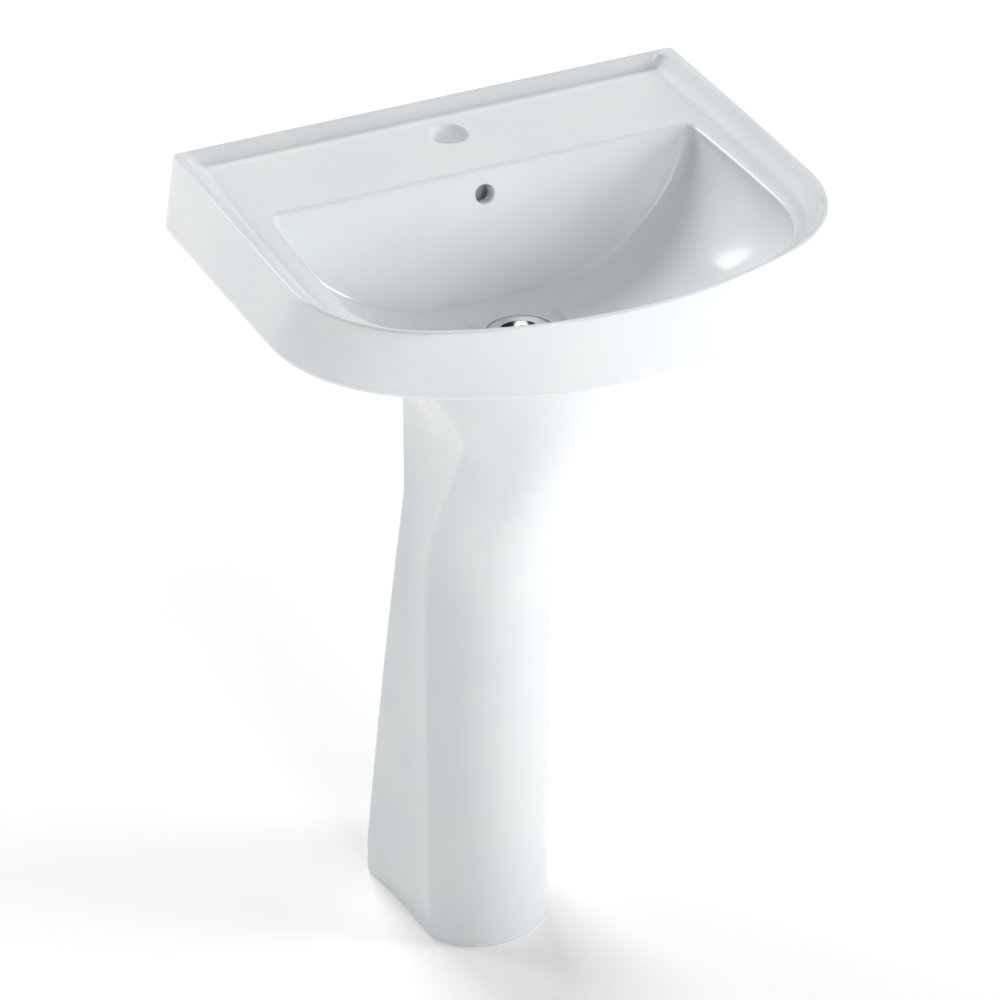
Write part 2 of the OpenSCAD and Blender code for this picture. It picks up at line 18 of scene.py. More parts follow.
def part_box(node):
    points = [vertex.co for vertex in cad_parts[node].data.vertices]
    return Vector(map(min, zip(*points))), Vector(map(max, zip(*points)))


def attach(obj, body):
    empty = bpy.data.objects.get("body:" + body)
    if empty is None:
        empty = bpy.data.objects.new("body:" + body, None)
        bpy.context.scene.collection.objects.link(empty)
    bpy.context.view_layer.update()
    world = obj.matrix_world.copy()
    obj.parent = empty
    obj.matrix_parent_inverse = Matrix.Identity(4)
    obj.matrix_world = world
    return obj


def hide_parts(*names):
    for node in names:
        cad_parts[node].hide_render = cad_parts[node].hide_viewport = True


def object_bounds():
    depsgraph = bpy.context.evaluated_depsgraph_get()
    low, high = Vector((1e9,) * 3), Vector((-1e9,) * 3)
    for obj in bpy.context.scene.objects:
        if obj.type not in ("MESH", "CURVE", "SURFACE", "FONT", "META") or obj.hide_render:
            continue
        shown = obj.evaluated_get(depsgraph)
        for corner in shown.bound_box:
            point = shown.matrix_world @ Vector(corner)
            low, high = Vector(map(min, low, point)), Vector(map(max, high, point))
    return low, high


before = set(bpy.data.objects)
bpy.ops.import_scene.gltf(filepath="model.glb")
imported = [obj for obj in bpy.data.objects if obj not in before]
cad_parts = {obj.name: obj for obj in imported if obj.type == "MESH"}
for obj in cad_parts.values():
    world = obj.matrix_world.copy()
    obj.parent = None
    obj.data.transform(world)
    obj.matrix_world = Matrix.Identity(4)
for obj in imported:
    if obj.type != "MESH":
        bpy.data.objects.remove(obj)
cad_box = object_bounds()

log = logging.getLogger("pedestal_sink")

MM = 0.001
WALL_Y = cad_box[1].y

Point = tuple[float, float]
Point3 = tuple[float, float, float]
Ring = list[Point3]
Object = bpy.types.Object
Material = bpy.types.Material
Tree = bpy.types.NodeTree
Socket = bpy.types.NodeSocket


class Slot(Enum):
    """The record's material slots."""

    CHINA = "china"
    PEDESTAL_CHINA = "pedestal_china"
    WASTE_CHROME = "waste_chrome"
    TUBE_CHROME = "tube_chrome"
    FLANGE_CHROME = "flange_chrome"
    BRASS = "brass"
    RUBBER = "rubber"
    CLEAR_SEAL = "clear_seal"
    WHITE_PLASTIC = "white_plastic"
    NUT_PLASTIC = "nut_plastic"


class Body(Enum):
    """The part's bodies that pieces ride on."""

    ROOT = "root"
    PLUG = "plug"
    PLUG_SEAL = "plug_seal"
    FLANGE = "flange"


# ---- Node and colour helpers ---------------------------------------------------------------------


def linear(hex_colour: str) -> tuple[float, float, float, float]:
    """Turns an sRGB hex colour into linear red, green, blue and alpha.

    Args:
        hex_colour: Six hex digits after a hash.

    Returns:
        The colour that a shader socket takes.
    """
    parts = [int(hex_colour[i : i + 2], 16) / 255 for i in (1, 3, 5)]
    low_end, gain, offset, power = 0.04045, 12.92, 0.055, 2.4
    red, green, blue = (
        c / gain if c <= low_end else ((c + offset) / (1 + offset)) ** power for c in parts
    )
    return red, green, blue, 1.0


def add_node(
    tree: Tree,
    kind: str,
    inputs: dict[Any, Any] | None = None,
    links: dict[Any, Socket] | None = None,
    **settings: Any,
) -> bpy.types.Node:
    """Adds one node with its settings, values and incoming links.

    Args:
        tree: Tree that takes the node.
        kind: Blender's name for the node's type.
        inputs: Values by the name or index of the input.
        links: Sockets by the name or index of the input that each feeds.
        settings: Properties of the node itself.

    Returns:
        The new node.
    """
    node = tree.nodes.new(kind)
    for name, value in settings.items():
        setattr(node, name, value)
    for key, value in (inputs or {}).items():
        node.inputs[key].default_value = value
    for key, socket in (links or {}).items():
        tree.links.new(socket, node.inputs[key])
    return node


def per_metre(size_mm: float) -> float:
    """Gives a texture's scale from the size of one of its features in millimetres."""
    return 1 / (size_mm * MM)


# ---- Finishes ------------------------------------------------------------------------------------


@dataclass(frozen=True)
class Finish:
    """A procedural finish, made once and shared by the pieces that have it."""

    name: str
    slot: Slot

    def material(self) -> Material:
        """Gives the finish's material, and makes it the first time."""
        found = bpy.data.materials.get(self.name)
        if found is not None:
            return found
        made = bpy.data.materials.new(self.name)
        made.use_nodes = True
        tree = made.node_tree
        shader = tree.nodes["Principled BSDF"]
        place = add_node(tree, "ShaderNodeTexCoord").outputs["Object"]
        self.dress(tree, shader, place)
        return made

    def dress(self, tree: Tree, shader: bpy.types.Node, place: Socket) -> None:
        """Sets the shader's sockets and adds the finish's patterns.

        Args:
            tree: The material's tree.
            shader: Its Principled shader.
            place: Object coordinates, in metres.
        """
        raise NotImplementedError


def noise(tree: Tree, place: Socket, size_mm: float, detail: float = 2.0) -> Socket:
    """Adds a cloudy pattern whose features are about size_mm across.

    Args:
        tree: Tree that takes the nodes.
        place: Coordinates in metres.
        size_mm: Feature size.
        detail: Levels of finer clouds.

    Returns:
        The pattern, from 0 to 1.
    """
    node = add_node(
        tree,
        "ShaderNodeTexNoise",
        {"Scale": per_metre(size_mm), "Detail": detail, "Roughness": 0.5},
        {"Vector": place},
    )
    return node.outputs["Fac"]


def spread(tree: Tree, value: Socket, low: float, high: float, ends: Point = (0.3, 0.7)) -> Socket:
    """Spreads a pattern between two values.

    Args:
        tree: Tree that takes the node.
        value: The pattern.
        low: Result at the pattern's low end.
        high: Result at its high end.
        ends: The pattern's low and high end.

    Returns:
        The spread pattern.
    """
    node = add_node(
        tree,
        "ShaderNodeMapRange",
        {"From Min": ends[0], "From Max": ends[1], "To Min": low, "To Max": high},
        {"Value": value},
    )
    return node.outputs["Result"]


def blend(tree: Tree, share: Socket, first: str, second: str) -> Socket:
    """Mixes two colours by a pattern.

    Args:
        tree: Tree that takes the node.
        share: Share of the second colour.
        first: sRGB hex of the first colour.
        second: sRGB hex of the second colour.

    Returns:
        The mixed colour.
    """
    node = add_node(
        tree,
        "ShaderNodeMix",
        {6: linear(first), 7: linear(second)},
        {"Factor": share},
        data_type="RGBA",
    )
    return node.outputs[2]


def bump(tree: Tree, height: Socket, height_mm: float, under: Socket | None = None) -> Socket:
    """Adds relief of a real height.

    Args:
        tree: Tree that takes the node.
        height: The pattern, from 0 to 1.
        height_mm: Relief at 1.
        under: Normal from a coarser relief.

    Returns:
        The surface's normal.
    """
    links = {"Height": height}
    if under is not None:
        links["Normal"] = under
    node = add_node(tree, "ShaderNodeBump", {"Strength": 1.0, "Distance": height_mm * MM}, links)
    return node.outputs["Normal"]


def stretched(tree: Tree, place: Socket, scale: Point3) -> Socket:
    """Stretches coordinates so that a pattern runs along one direction."""
    node = add_node(tree, "ShaderNodeMapping", {"Scale": scale}, {"Vector": place})
    return node.outputs["Vector"]


@dataclass(frozen=True)
class GlazedChina(Finish):
    """Vitreous china under a white tin-opacified glaze, sprayed and fired."""

    body: str = "#EDF0F1"
    pooled: str = "#E6EBEE"
    speck: str = "#B9B6AE"
    gloss: float = 0.13

    def dress(self, tree: Tree, shader: bpy.types.Node, place: Socket) -> None:
        """Glaze gives the eye a wet, faintly rippled gloss over a slightly cool white body."""
        inputs = shader.inputs
        inputs["IOR"].default_value = 1.5
        inputs["Coat Weight"].default_value = 0.3
        inputs["Coat Roughness"].default_value = 0.05
        inputs["Coat IOR"].default_value = 1.45
        # The glaze runs a little thicker in places, which cools its white over a hand's width
        cloud = spread(tree, noise(tree, place, 90.0, 3.0), 0.0, 1.0)
        ground = blend(tree, cloud, self.body, self.pooled)
        # Iron specks of 0.4 mm, drawn at 0.7 mm so that one or two show up close
        cells = add_node(
            tree,
            "ShaderNodeTexVoronoi",
            {"Scale": per_metre(14.0), "Randomness": 1.0},
            {"Vector": place},
            feature="F1",
        )
        speck = spread(tree, cells.outputs["Distance"], 0.5, 0.0, (0.018, 0.03))
        mixed = add_node(
            tree, "ShaderNodeMix", {7: linear(self.speck)}, {0: speck, 6: ground}, data_type="RGBA"
        )
        tree.links.new(mixed.outputs[2], inputs["Base Color"])
        sheen = spread(tree, noise(tree, place, 26.0), self.gloss, self.gloss + 0.05)
        tree.links.new(sheen, inputs["Roughness"])
        # Long orange-peel ripple from the spray, and a fine one from the fired glaze
        coarse = bump(tree, noise(tree, place, 38.0, 1.0), 0.10)
        fine = bump(tree, noise(tree, place, 6.0, 2.0), 0.006, coarse)
        tree.links.new(fine, inputs["Normal"])


@dataclass(frozen=True)
class ChromePlate(Finish):
    """Bright chromium over nickel on brass."""

    body: str = "#E2E4E6"
    haze: str = "#D3D6D9"
    gloss: float = 0.05
    lines_along: Point3 = (1.0, 1.0, 1.0)
    lines_mm: float = 8.0

    def dress(self, tree: Tree, shader: bpy.types.Node, place: Socket) -> None:
        """Chrome gives the eye a cold mirror with faint polishing haze and water marks."""
        shader.inputs["Metallic"].default_value = 1.0
        cloud = spread(tree, noise(tree, place, 18.0, 4.0), 0.0, 1.0)
        tree.links.new(blend(tree, cloud, self.body, self.haze), shader.inputs["Base Color"])
        streak = noise(tree, stretched(tree, place, self.lines_along), self.lines_mm, 3.0)
        tree.links.new(
            spread(tree, streak, self.gloss, self.gloss + 0.09), shader.inputs["Roughness"]
        )
        tree.links.new(bump(tree, streak, 0.01), shader.inputs["Normal"])


@dataclass(frozen=True)
class TurnedBrass(Finish):
    """Brass bar turned on a lathe and left unplated."""

    body: str = "#D0AE66"
    tarnish: str = "#A98746"

    def dress(self, tree: Tree, shader: bpy.types.Node, place: Socket) -> None:
        """Turned brass gives the eye a warm metal with fine tool rings and dull patches."""
        shader.inputs["Metallic"].default_value = 1.0
        cloud = spread(tree, noise(tree, place, 9.0, 4.0), 0.0, 1.0)
        tree.links.new(blend(tree, cloud, self.body, self.tarnish), shader.inputs["Base Color"])
        tree.links.new(spread(tree, noise(tree, place, 4.0), 0.22, 0.4), shader.inputs["Roughness"])
        # Tool rings 0.2 mm apart, drawn 0.8 mm apart so that they show
        rings = add_node(
            tree,
            "ShaderNodeTexWave",
            {"Scale": per_metre(0.8) / 20, "Distortion": 0.6, "Detail": 1.0},
            {"Vector": place},
            wave_type="BANDS",
            bands_direction="Z",
        )
        tree.links.new(bump(tree, rings.outputs["Fac"], 0.02), shader.inputs["Normal"])


@dataclass(frozen=True)
class MouldedPlastic(Finish):
    """White polypropylene from an eroded mould."""

    body: str = "#E9E8E2"
    flow: str = "#DEDCD3"
    gloss: float = 0.34

    def dress(self, tree: Tree, shader: bpy.types.Node, place: Socket) -> None:
        """Moulded plastic gives the eye a satin, slightly waxy white with flow marks."""
        shader.inputs["IOR"].default_value = 1.49
        shader.inputs["Subsurface Weight"].default_value = 0.08
        shader.inputs["Subsurface Radius"].default_value = (1.0, 0.9, 0.8)
        shader.inputs["Subsurface Scale"].default_value = 1.5 * MM
        upright = stretched(tree, place, (1.0, 1.0, 0.4))
        cloud = spread(tree, noise(tree, upright, 16.0, 3.0), 0.0, 1.0)
        tree.links.new(blend(tree, cloud, self.body, self.flow), shader.inputs["Base Color"])
        tree.links.new(
            spread(tree, noise(tree, place, 5.0), self.gloss, self.gloss + 0.1),
            shader.inputs["Roughness"],
        )
        # The mould's grain of 0.15 mm, drawn at 0.5 mm so that it shows
        grain = bump(tree, noise(tree, place, 0.5, 1.0), 0.012)
        tree.links.new(grain, shader.inputs["Normal"])


@dataclass(frozen=True)
class MouldedRubber(Finish):
    """Nitrile or silicone rubber, pressed in a mould."""

    body: str = "#232425"
    bloom: str = "#343637"
    gloss: float = 0.55

    def dress(self, tree: Tree, shader: bpy.types.Node, place: Socket) -> None:
        """Moulded rubber gives the eye a matt grey-black with a dusty bloom."""
        shader.inputs["IOR"].default_value = 1.52
        cloud = spread(tree, noise(tree, place, 4.0, 4.0), 0.0, 1.0)
        tree.links.new(blend(tree, cloud, self.body, self.bloom), shader.inputs["Base Color"])
        tree.links.new(
            spread(tree, noise(tree, place, 2.0), self.gloss, self.gloss + 0.2),
            shader.inputs["Roughness"],
        )
        tree.links.new(bump(tree, noise(tree, place, 0.8, 2.0), 0.03), shader.inputs["Normal"])


BASIN_GLAZE = GlazedChina("basin_glaze", Slot.CHINA)
PEDESTAL_GLAZE = GlazedChina("pedestal_glaze", Slot.PEDESTAL_CHINA)
WASTE_CHROME = ChromePlate("waste_chrome", Slot.WASTE_CHROME)
TUBE_CHROME = ChromePlate(
    "tube_chrome", Slot.TUBE_CHROME, lines_along=(1.0, 1.0, 0.06), lines_mm=1.2
)
OUTLET_CHROME = ChromePlate(
    "outlet_chrome", Slot.TUBE_CHROME, lines_along=(1.0, 0.06, 1.0), lines_mm=1.2
)
FLANGE_CHROME = ChromePlate("flange_chrome", Slot.FLANGE_CHROME, gloss=0.07)
BRASS = TurnedBrass("turned_brass", Slot.BRASS)
RUBBER = MouldedRubber("black_rubber", Slot.RUBBER)
CLEAR_SEAL = MouldedRubber("grey_silicone", Slot.CLEAR_SEAL, "#8E9496", "#A2A8AA", 0.35)
PIPE_PLASTIC = MouldedPlastic("pipe_plastic", Slot.WHITE_PLASTIC)
NUT_PLASTIC = MouldedPlastic("nut_plastic", Slot.NUT_PLASTIC, "#DDDFDC", "#D1D3CF", 0.3)


# ---- Mesh helpers --------------------------------------------------------------------------------


def to_frame(point: Point3) -> Vector:
    """Turns a point measured from the wall in millimetres into the part's frame in metres."""
    return Vector((point[0] * MM, point[1] * MM + WALL_Y, point[2] * MM))


def mix(first: float, second: float, share: float) -> float:
    """Goes from the first value to the second."""
    return first + (second - first) * share


def ease(share: float) -> float:
    """Goes from 0 to 1 with a soft start and end."""
    inside = min(1.0, max(0.0, share))
    return inside * inside * (3 - 2 * inside)


def steps(count: int, first: float = 0.0, last: float = 1.0) -> list[float]:
    """Lists evenly spaced values, both ends included."""
    return [mix(first, last, i / (count - 1)) for i in range(count)]


# Edges that turn by less than this are shaded smooth
SMOOTH_ANGLE = math.radians(32)


def new_object(name: str, mesh: bpy.types.Mesh, finish: Finish) -> Object:
    """Links a mesh as an object at the origin and gives it its finish.

    Args:
        name: Name of the piece.
        mesh: Its mesh, already in place.
        finish: Its finish.

    Returns:
        The new object.
    """
    piece = bpy.data.objects.new(name, mesh)
    bpy.context.scene.collection.objects.link(piece)
    mesh.materials.append(finish.material())
    shade(mesh)
    return piece


def shade(mesh: bpy.types.Mesh) -> None:
    """Shades a mesh smooth, with its corners kept sharp."""
    mesh.shade_smooth()
    mesh.set_sharp_from_angle(angle=SMOOTH_ANGLE)


def skin_mesh(name: str, rings: list[Ring], closed: bool = True) -> bpy.types.Mesh:
    """Joins rings into a skin of quads.

    Args:
        name: Name of the mesh.
        rings: Rings of equal length, clockwise from above, that run down the outside of the
            solid or up its inside, measured from the wall in millimetres.
        closed: Whether the last ring joins the first.

    Returns:
        The mesh, in the part's frame.
    """
    count = len(rings[0])
    rows = len(rings) if closed else len(rings) - 1
    faces = []
    for row in range(rows):
        near, far = row * count, (row + 1) % len(rings) * count
        for i in range(count):
            j = (i + 1) % count
            faces.append((near + i, near + j, far + j, far + i))
    mesh = bpy.data.meshes.new(name)
    mesh.from_pydata([to_frame(p) for ring in rings for p in ring], [], faces)
    return mesh


def tidy_closed(mesh: bpy.types.Mesh) -> None:
    """Merges doubled points of a closed mesh and points its faces outwards."""
    work = bmesh.new()
    work.from_mesh(mesh)
    bmesh.ops.remove_doubles(work, verts=work.verts, dist=1e-7)
    bmesh.ops.dissolve_degenerate(work, edges=work.edges, dist=1e-8)
    bmesh.ops.recalc_face_normals(work, faces=work.faces)
    work.to_mesh(mesh)
    work.free()


def rounded(corners: list[tuple[float, float, float]], arc_steps: int = 5) -> list[Point]:
    """Rounds the corners of a closed outline.

    Args:
        corners: Each corner's radius from the axis, height and rounding.
        arc_steps: Points along each rounding.

    Returns:
        Points of the rounded outline.
    """
    points: list[Point] = []
    count = len(corners)
    for i, (x, y, radius) in enumerate(corners):
        here = Vector((x, y))
        to_last = Vector(corners[i - 1][:2]) - here
        to_next = Vector(corners[(i + 1) % count][:2]) - here
        if radius <= 0:
            points.append((x, y))
            continue
        half = to_last.angle(to_next) / 2
        reach = min(radius / math.tan(half), to_last.length * 0.49, to_next.length * 0.49)
        start, end = here + to_last.normalized() * reach, here + to_next.normalized() * reach
        for share in steps(arc_steps):
            # A quadratic curve through the corner's tangents is close to its arc
            bend = (1 - share) ** 2 * start + 2 * share * (1 - share) * here + share**2 * end
            points.append((bend.x, bend.y))
    return points


def lathe_mesh(name: str, outline: list[Point], sides: int = 96) -> bpy.types.Mesh:
    """Turns a closed outline of radius and height round the Z axis, in millimetres.

    Args:
        name: Name of the mesh.
        outline: Closed outline; a radius of 0 lies on the axis.
        sides: Faces round the axis.

    Returns:
        The closed mesh in metres, about the origin.
    """
    count = len(outline)
    points = []
    for i in range(sides):
        angle = math.tau * i / sides
        across, along = math.cos(angle) * MM, math.sin(angle) * MM
        points += [(radius * across, radius * along, height * MM) for radius, height in outline]
    faces = []
    for i in range(sides):
        near, far = i * count, (i + 1) % sides * count
        for j in range(count):
            k = (j + 1) % count
            faces.append((near + j, far + j, far + k, near + k))
    mesh = bpy.data.meshes.new(name)
    mesh.from_pydata(points, [], faces)
    tidy_closed(mesh)
    return mesh


def flat_prism(name: str, outline: list[Point], width: float) -> bpy.types.Mesh:
    """Extrudes an outline in the YZ plane across X.

    Args:
        name: Name of the mesh.
        outline: Points of distance from the wall plane and height, in millimetres.
        width: Width across X.

    Returns:
        The closed mesh in the part's frame.
    """
    count = len(outline)
    sides = [(side * width / 2, y, z) for side in (-1, 1) for y, z in outline]
    faces = [tuple(range(count)), tuple(range(2 * count - 1, count - 1, -1))]
    faces += [(i, i + count, (i + 1) % count + count, (i + 1) % count) for i in range(count)]
    mesh = bpy.data.meshes.new(name)
    mesh.from_pydata([to_frame(p) for p in sides], [], faces)
    tidy_closed(mesh)
    return mesh


def baked(piece: Object) -> Object:
    """Applies a piece's modifiers to its mesh and removes them."""
    bpy.context.view_layer.update()
    graph = bpy.context.evaluated_depsgraph_get()
    mesh = bpy.data.meshes.new_from_object(
        piece.evaluated_get(graph), preserve_all_data_layers=True, depsgraph=graph
    )
    piece.modifiers.clear()
    piece.data = mesh
    return piece


class Cut(Enum):
    """Ways in which a solid changes another."""

    AWAY = "DIFFERENCE"
    ONTO = "UNION"
    WITHIN = "INTERSECT"


def combine(piece: Object, tools: list[tuple[Cut, bpy.types.Mesh]]) -> Object:
    """Cuts solids out of a piece or fuses them to it.

    Args:
        piece: A piece with a closed mesh.
        tools: The solids, in order, each with what it does.

    Returns:
        The piece, with its new mesh.
    """
    material = piece.data.materials[0]
    for cut, mesh in tools:
        tool = bpy.data.objects.new("tool", mesh)
        bpy.context.scene.collection.objects.link(tool)
        mesh.materials.append(material)
        modifier = piece.modifiers.new("combine", "BOOLEAN")
        modifier.operation = cut.value
        modifier.solver = "MANIFOLD"
        modifier.object = tool
        baked(piece)
        bpy.data.objects.remove(tool)
    shade(piece.data)
    return piece


def soften(piece: Object, width_mm: float, segments: int = 2) -> Object:
    """Rounds a piece's sharp edges with a small bevel."""
    modifier = piece.modifiers.new("soften", "BEVEL")
    modifier.width = width_mm * MM
    modifier.segments = segments
    modifier.limit_method = "ANGLE"
    modifier.angle_limit = SMOOTH_ANGLE
    modifier.use_clamp_overlap = True
    baked(piece)
    shade(piece.data)
    return piece


def moved(mesh: bpy.types.Mesh, matrix: Matrix) -> bpy.types.Mesh:
    """Moves a mesh's points and gives the mesh back."""
    mesh.transform(matrix)
    return mesh


def hand_over(piece: Object, finish: Finish, body: Body, *nodes: str) -> None:
    """Lets a piece ride on its body and stand for its nodes.

    Args:
        piece: The finished piece.
        finish: Not used.
        body: Body that carries it.
        nodes: CAD nodes that it stands for.
    """
    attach(piece, body.value)
    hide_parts(*nodes)
    triangles = sum(len(p.vertices) - 2 for p in piece.data.polygons)
    log.info("%s: %d triangles, for %s", piece.name, triangles, ", ".join(nodes))


# ---- Geometry Nodes ------------------------------------------------------------------------------


class Recipe:
    """A Geometry Nodes tree with named inputs, which adds repeated detail to a mesh."""

    def __init__(self, name: str, sizes: dict[str, float | int]) -> None:
        """Starts a tree with a mesh, a material and the named sizes as its inputs.

        Args:
            name: Name of the tree.
            sizes: Each input's name and first value; a whole number makes a counting input.
        """
        self.tree = bpy.data.node_groups.new(name, "GeometryNodeTree")
        face = self.tree.interface
        face.new_socket("Geometry", in_out="OUTPUT", socket_type="NodeSocketGeometry")
        face.new_socket("Geometry", in_out="INPUT", socket_type="NodeSocketGeometry")
        face.new_socket("Material", in_out="INPUT", socket_type="NodeSocketMaterial")
        for key, value in sizes.items():
            kind = "NodeSocketInt" if isinstance(value, int) else "NodeSocketFloat"
            face.new_socket(key, in_out="INPUT", socket_type=kind).default_value = value
        self.inputs = add_node(self.tree, "NodeGroupInput").outputs

    def add(self, kind: str, inputs: Any = None, links: Any = None, **settings: Any) -> Any:
        """Adds a node to the tree and gives its outputs."""
        return add_node(self.tree, kind, inputs, links, **settings).outputs

    def finish(self, detail: Socket) -> None:
        """Ends the tree: detail made real, given its material and joined to the mesh.

        Args:
            detail: The repeated detail's geometry.
        """
        real = self.add("GeometryNodeRealizeInstances", links={0: detail})[0]
        both = add_node(self.tree, "GeometryNodeJoinGeometry")
        self.tree.links.new(real, both.inputs[0])
        self.tree.links.new(self.inputs["Geometry"], both.inputs[0])
        dressed = self.add(
            "GeometryNodeSetMaterial",
            links={"Geometry": both.outputs[0], "Material": self.inputs["Material"]},
        )[0]
        add_node(self.tree, "NodeGroupOutput", links={0: dressed})

    def apply(self, piece: Object, finish: Finish, values: dict[str, float | int]) -> Object:
        """Runs the tree on a piece and leaves a plain mesh.

        Args:
            piece: Piece that takes the detail, still about the origin.
            finish: Finish of the detail.
            values: Inputs by name.

        Returns:
            The piece.
        """
        modifier = piece.modifiers.new(self.tree.name, "NODES")
        modifier.node_group = self.tree
        names = {
            item.name: item.identifier
            for item in self.tree.interface.items_tree
            if item.in_out == "INPUT"
        }
        modifier[names["Material"]] = finish.material()
        for key, value in values.items():
            modifier[names[key]] = value
        baked(piece)
        shade(piece.data)
        return piece


def thread_recipe() -> Recipe:
    """Builds the tree of a screw thread: a ridge that winds up round the Z axis."""
    recipe = Recipe(
        "thread_ridge", {"Radius": 0.02, "Pitch": 0.002, "Turns": 5.0, "Depth": 0.001, "Foot": 0.0}
    )
    get = recipe.inputs
    height = recipe.add(
        "ShaderNodeMath", links={0: get["Pitch"], 1: get["Turns"]}, operation="MULTIPLY"
    )[0]
    spiral = recipe.add(
        "GeometryNodeCurveSpiral",
        {"Resolution": 56},
        {
            "Rotations": get["Turns"],
            "Start Radius": get["Radius"],
            "End Radius": get["Radius"],
            "Height": height,
        },
    )[0]
    foot = recipe.add("ShaderNodeCombineXYZ", links={"Z": get["Foot"]})[0]
    raised = recipe.add("GeometryNodeSetPosition", links={"Geometry": spiral, "Offset": foot})[0]
    upright = recipe.add("GeometryNodeSetCurveNormal", links={"Curve": raised}, mode="Z_UP")[0]
    crest = recipe.add(
        "GeometryNodeCurvePrimitiveCircle", {"Resolution": 4}, {"Radius": get["Depth"]}
    )[0]
    ridge = recipe.add(
        "GeometryNodeCurveToMesh", {"Fill Caps": True}, {"Curve": upright, "Profile Curve": crest}
    )[0]
    recipe.finish(ridge)
    return recipe


def grip_recipe() -> Recipe:
    """Builds the tree of a nut's grips: upright round ribs that taper off at both ends."""
    recipe = Recipe(
        "grip_ribs", {"Count": 8, "Ring": 0.02, "Rib": 0.0025, "Foot": 0.002, "Tall": 0.015}
    )
    get = recipe.inputs
    top = recipe.add("ShaderNodeMath", links={0: get["Foot"], 1: get["Tall"]}, operation="ADD")[0]
    start = recipe.add("ShaderNodeCombineXYZ", links={"Z": get["Foot"]})[0]
    end = recipe.add("ShaderNodeCombineXYZ", links={"Z": top})[0]
    line = recipe.add("GeometryNodeCurvePrimitiveLine", links={"Start": start, "End": end})[0]
    fine = recipe.add("GeometryNodeResampleCurve", {"Count": 15}, {"Curve": line})[0]
    share = recipe.add("GeometryNodeSplineParameter")["Factor"]
    # The rib's radius follows the fourth root of its distance from the ends
    far = recipe.add("ShaderNodeMath", {0: 1.0}, {1: share}, operation="SUBTRACT")[0]
    both = recipe.add("ShaderNodeMath", links={0: share, 1: far}, operation="MULTIPLY")[0]
    lifted = recipe.add("ShaderNodeMath", {1: 4.0}, {0: both}, operation="MULTIPLY")[0]
    swell = recipe.add("ShaderNodeMath", {1: 0.25}, {0: lifted}, operation="POWER")[0]
    radius = recipe.add("ShaderNodeMath", {1: 0.08}, {0: swell}, operation="MAXIMUM")[0]
    rod = recipe.add(
        "GeometryNodeCurvePrimitiveCircle", {"Resolution": 16}, {"Radius": get["Rib"]}
    )[0]
    rib = recipe.add(
        "GeometryNodeCurveToMesh",
        {"Fill Caps": True},
        {"Curve": fine, "Profile Curve": rod, "Scale": radius},
    )[0]
    ring = recipe.add(
        "GeometryNodeMeshCircle", links={"Vertices": get["Count"], "Radius": get["Ring"]}
    )[0]
    around = recipe.add("GeometryNodeInstanceOnPoints", links={"Points": ring, "Instance": rib})[0]
    recipe.finish(around)
    return recipe


# ---- D outlines ----------------------------------------------------------------------------------

# Points along each stretch of half an outline, from the back to the front
BACK_STEPS = 20
BEND_STEPS = 5
SIDE_STEPS = 26
CORNER_STEPS = 26
FRONT_STEPS = 18


@dataclass(frozen=True)
class Outline:
    """A D-shaped outline seen from above, in millimetres: flat at the back, bowed at the front."""

    back: float
    side: float
    back_y: float
    front_y: float
    back_r: float
    corner_r: float
    front_r: float

    def grown(self, by: float) -> "Outline":
        """Gives the same outline, larger all round."""
        return Outline(
            self.back + by,
            self.side + by,
            self.back_y + by,
            self.front_y - by,
            max(1.0, self.back_r + by),
            self.corner_r + by,
            self.front_r + by,
        )

    def toward(self, other: "Outline", share: float) -> "Outline":
        """Gives the outline that lies a share of the way to another."""
        return Outline(
            mix(self.back, other.back, share),
            mix(self.side, other.side, share),
            mix(self.back_y, other.back_y, share),
            mix(self.front_y, other.front_y, share),
            mix(self.back_r, other.back_r, share),
            mix(self.corner_r, other.corner_r, share),
            mix(self.front_r, other.front_r, share),
        )

    def half(self) -> list[Point]:
        """Lists the points from the middle of the back to the middle of the front, on +X."""
        front_c = self.front_y + self.front_r
        corner_x = self.side - self.corner_r
        corner_y = front_c - math.sqrt((self.front_r - self.corner_r) ** 2 - corner_x**2)
        split = math.atan2(corner_x, front_c - corner_y)
        side_y = self.back_y - self.back_r
        flat = self.back - self.back_r
        points = [(flat * i / BACK_STEPS, self.back_y) for i in range(BACK_STEPS)]
        for angle in steps(BEND_STEPS + 1, math.pi / 2, 0.0):
            points.append(
                (flat + self.back_r * math.cos(angle), side_y + self.back_r * math.sin(angle))
            )
        for share in steps(SIDE_STEPS + 1)[1:-1]:
            points.append(
                (mix(self.back, self.side, share * (2 - share)), mix(side_y, corner_y, share))
            )
        for angle in steps(CORNER_STEPS + 1, 0.0, split - math.pi / 2):
            points.append(
                (
                    corner_x + self.corner_r * math.cos(angle),
                    corner_y + self.corner_r * math.sin(angle),
                )
            )
        for angle in steps(FRONT_STEPS + 1, split, 0.0)[1:]:
            points.append(
                (self.front_r * math.sin(angle), front_c - self.front_r * math.cos(angle))
            )
        return points

    def ring(self) -> list[Point]:
        """Lists the whole outline, clockwise from above."""
        half = self.half()
        return half + [(-x, y) for x, y in reversed(half[1:-1])]

    def level(self, z: float) -> Ring:
        """Draws the outline at one height."""
        return [(x, y, z) for x, y in self.ring()]

    def circle(self, centre_y: float, radius: float, z: float) -> Ring:
        """Draws a circle on the middle plane, with a point for each point of the outline."""
        ring = []
        for x, y in self.ring():
            far = math.hypot(x, y - centre_y)
            ring.append((x * radius / far, centre_y + (y - centre_y) * radius / far, z))
        return ring


def between(first: Ring, second: Ring, share: float, height_share: float) -> Ring:
    """Gives the ring that lies between two others, with its own share of the height."""
    return [
        (mix(a[0], b[0], share), mix(a[1], b[1], share), mix(a[2], b[2], height_share))
        for a, b in zip(first, second)
    ]


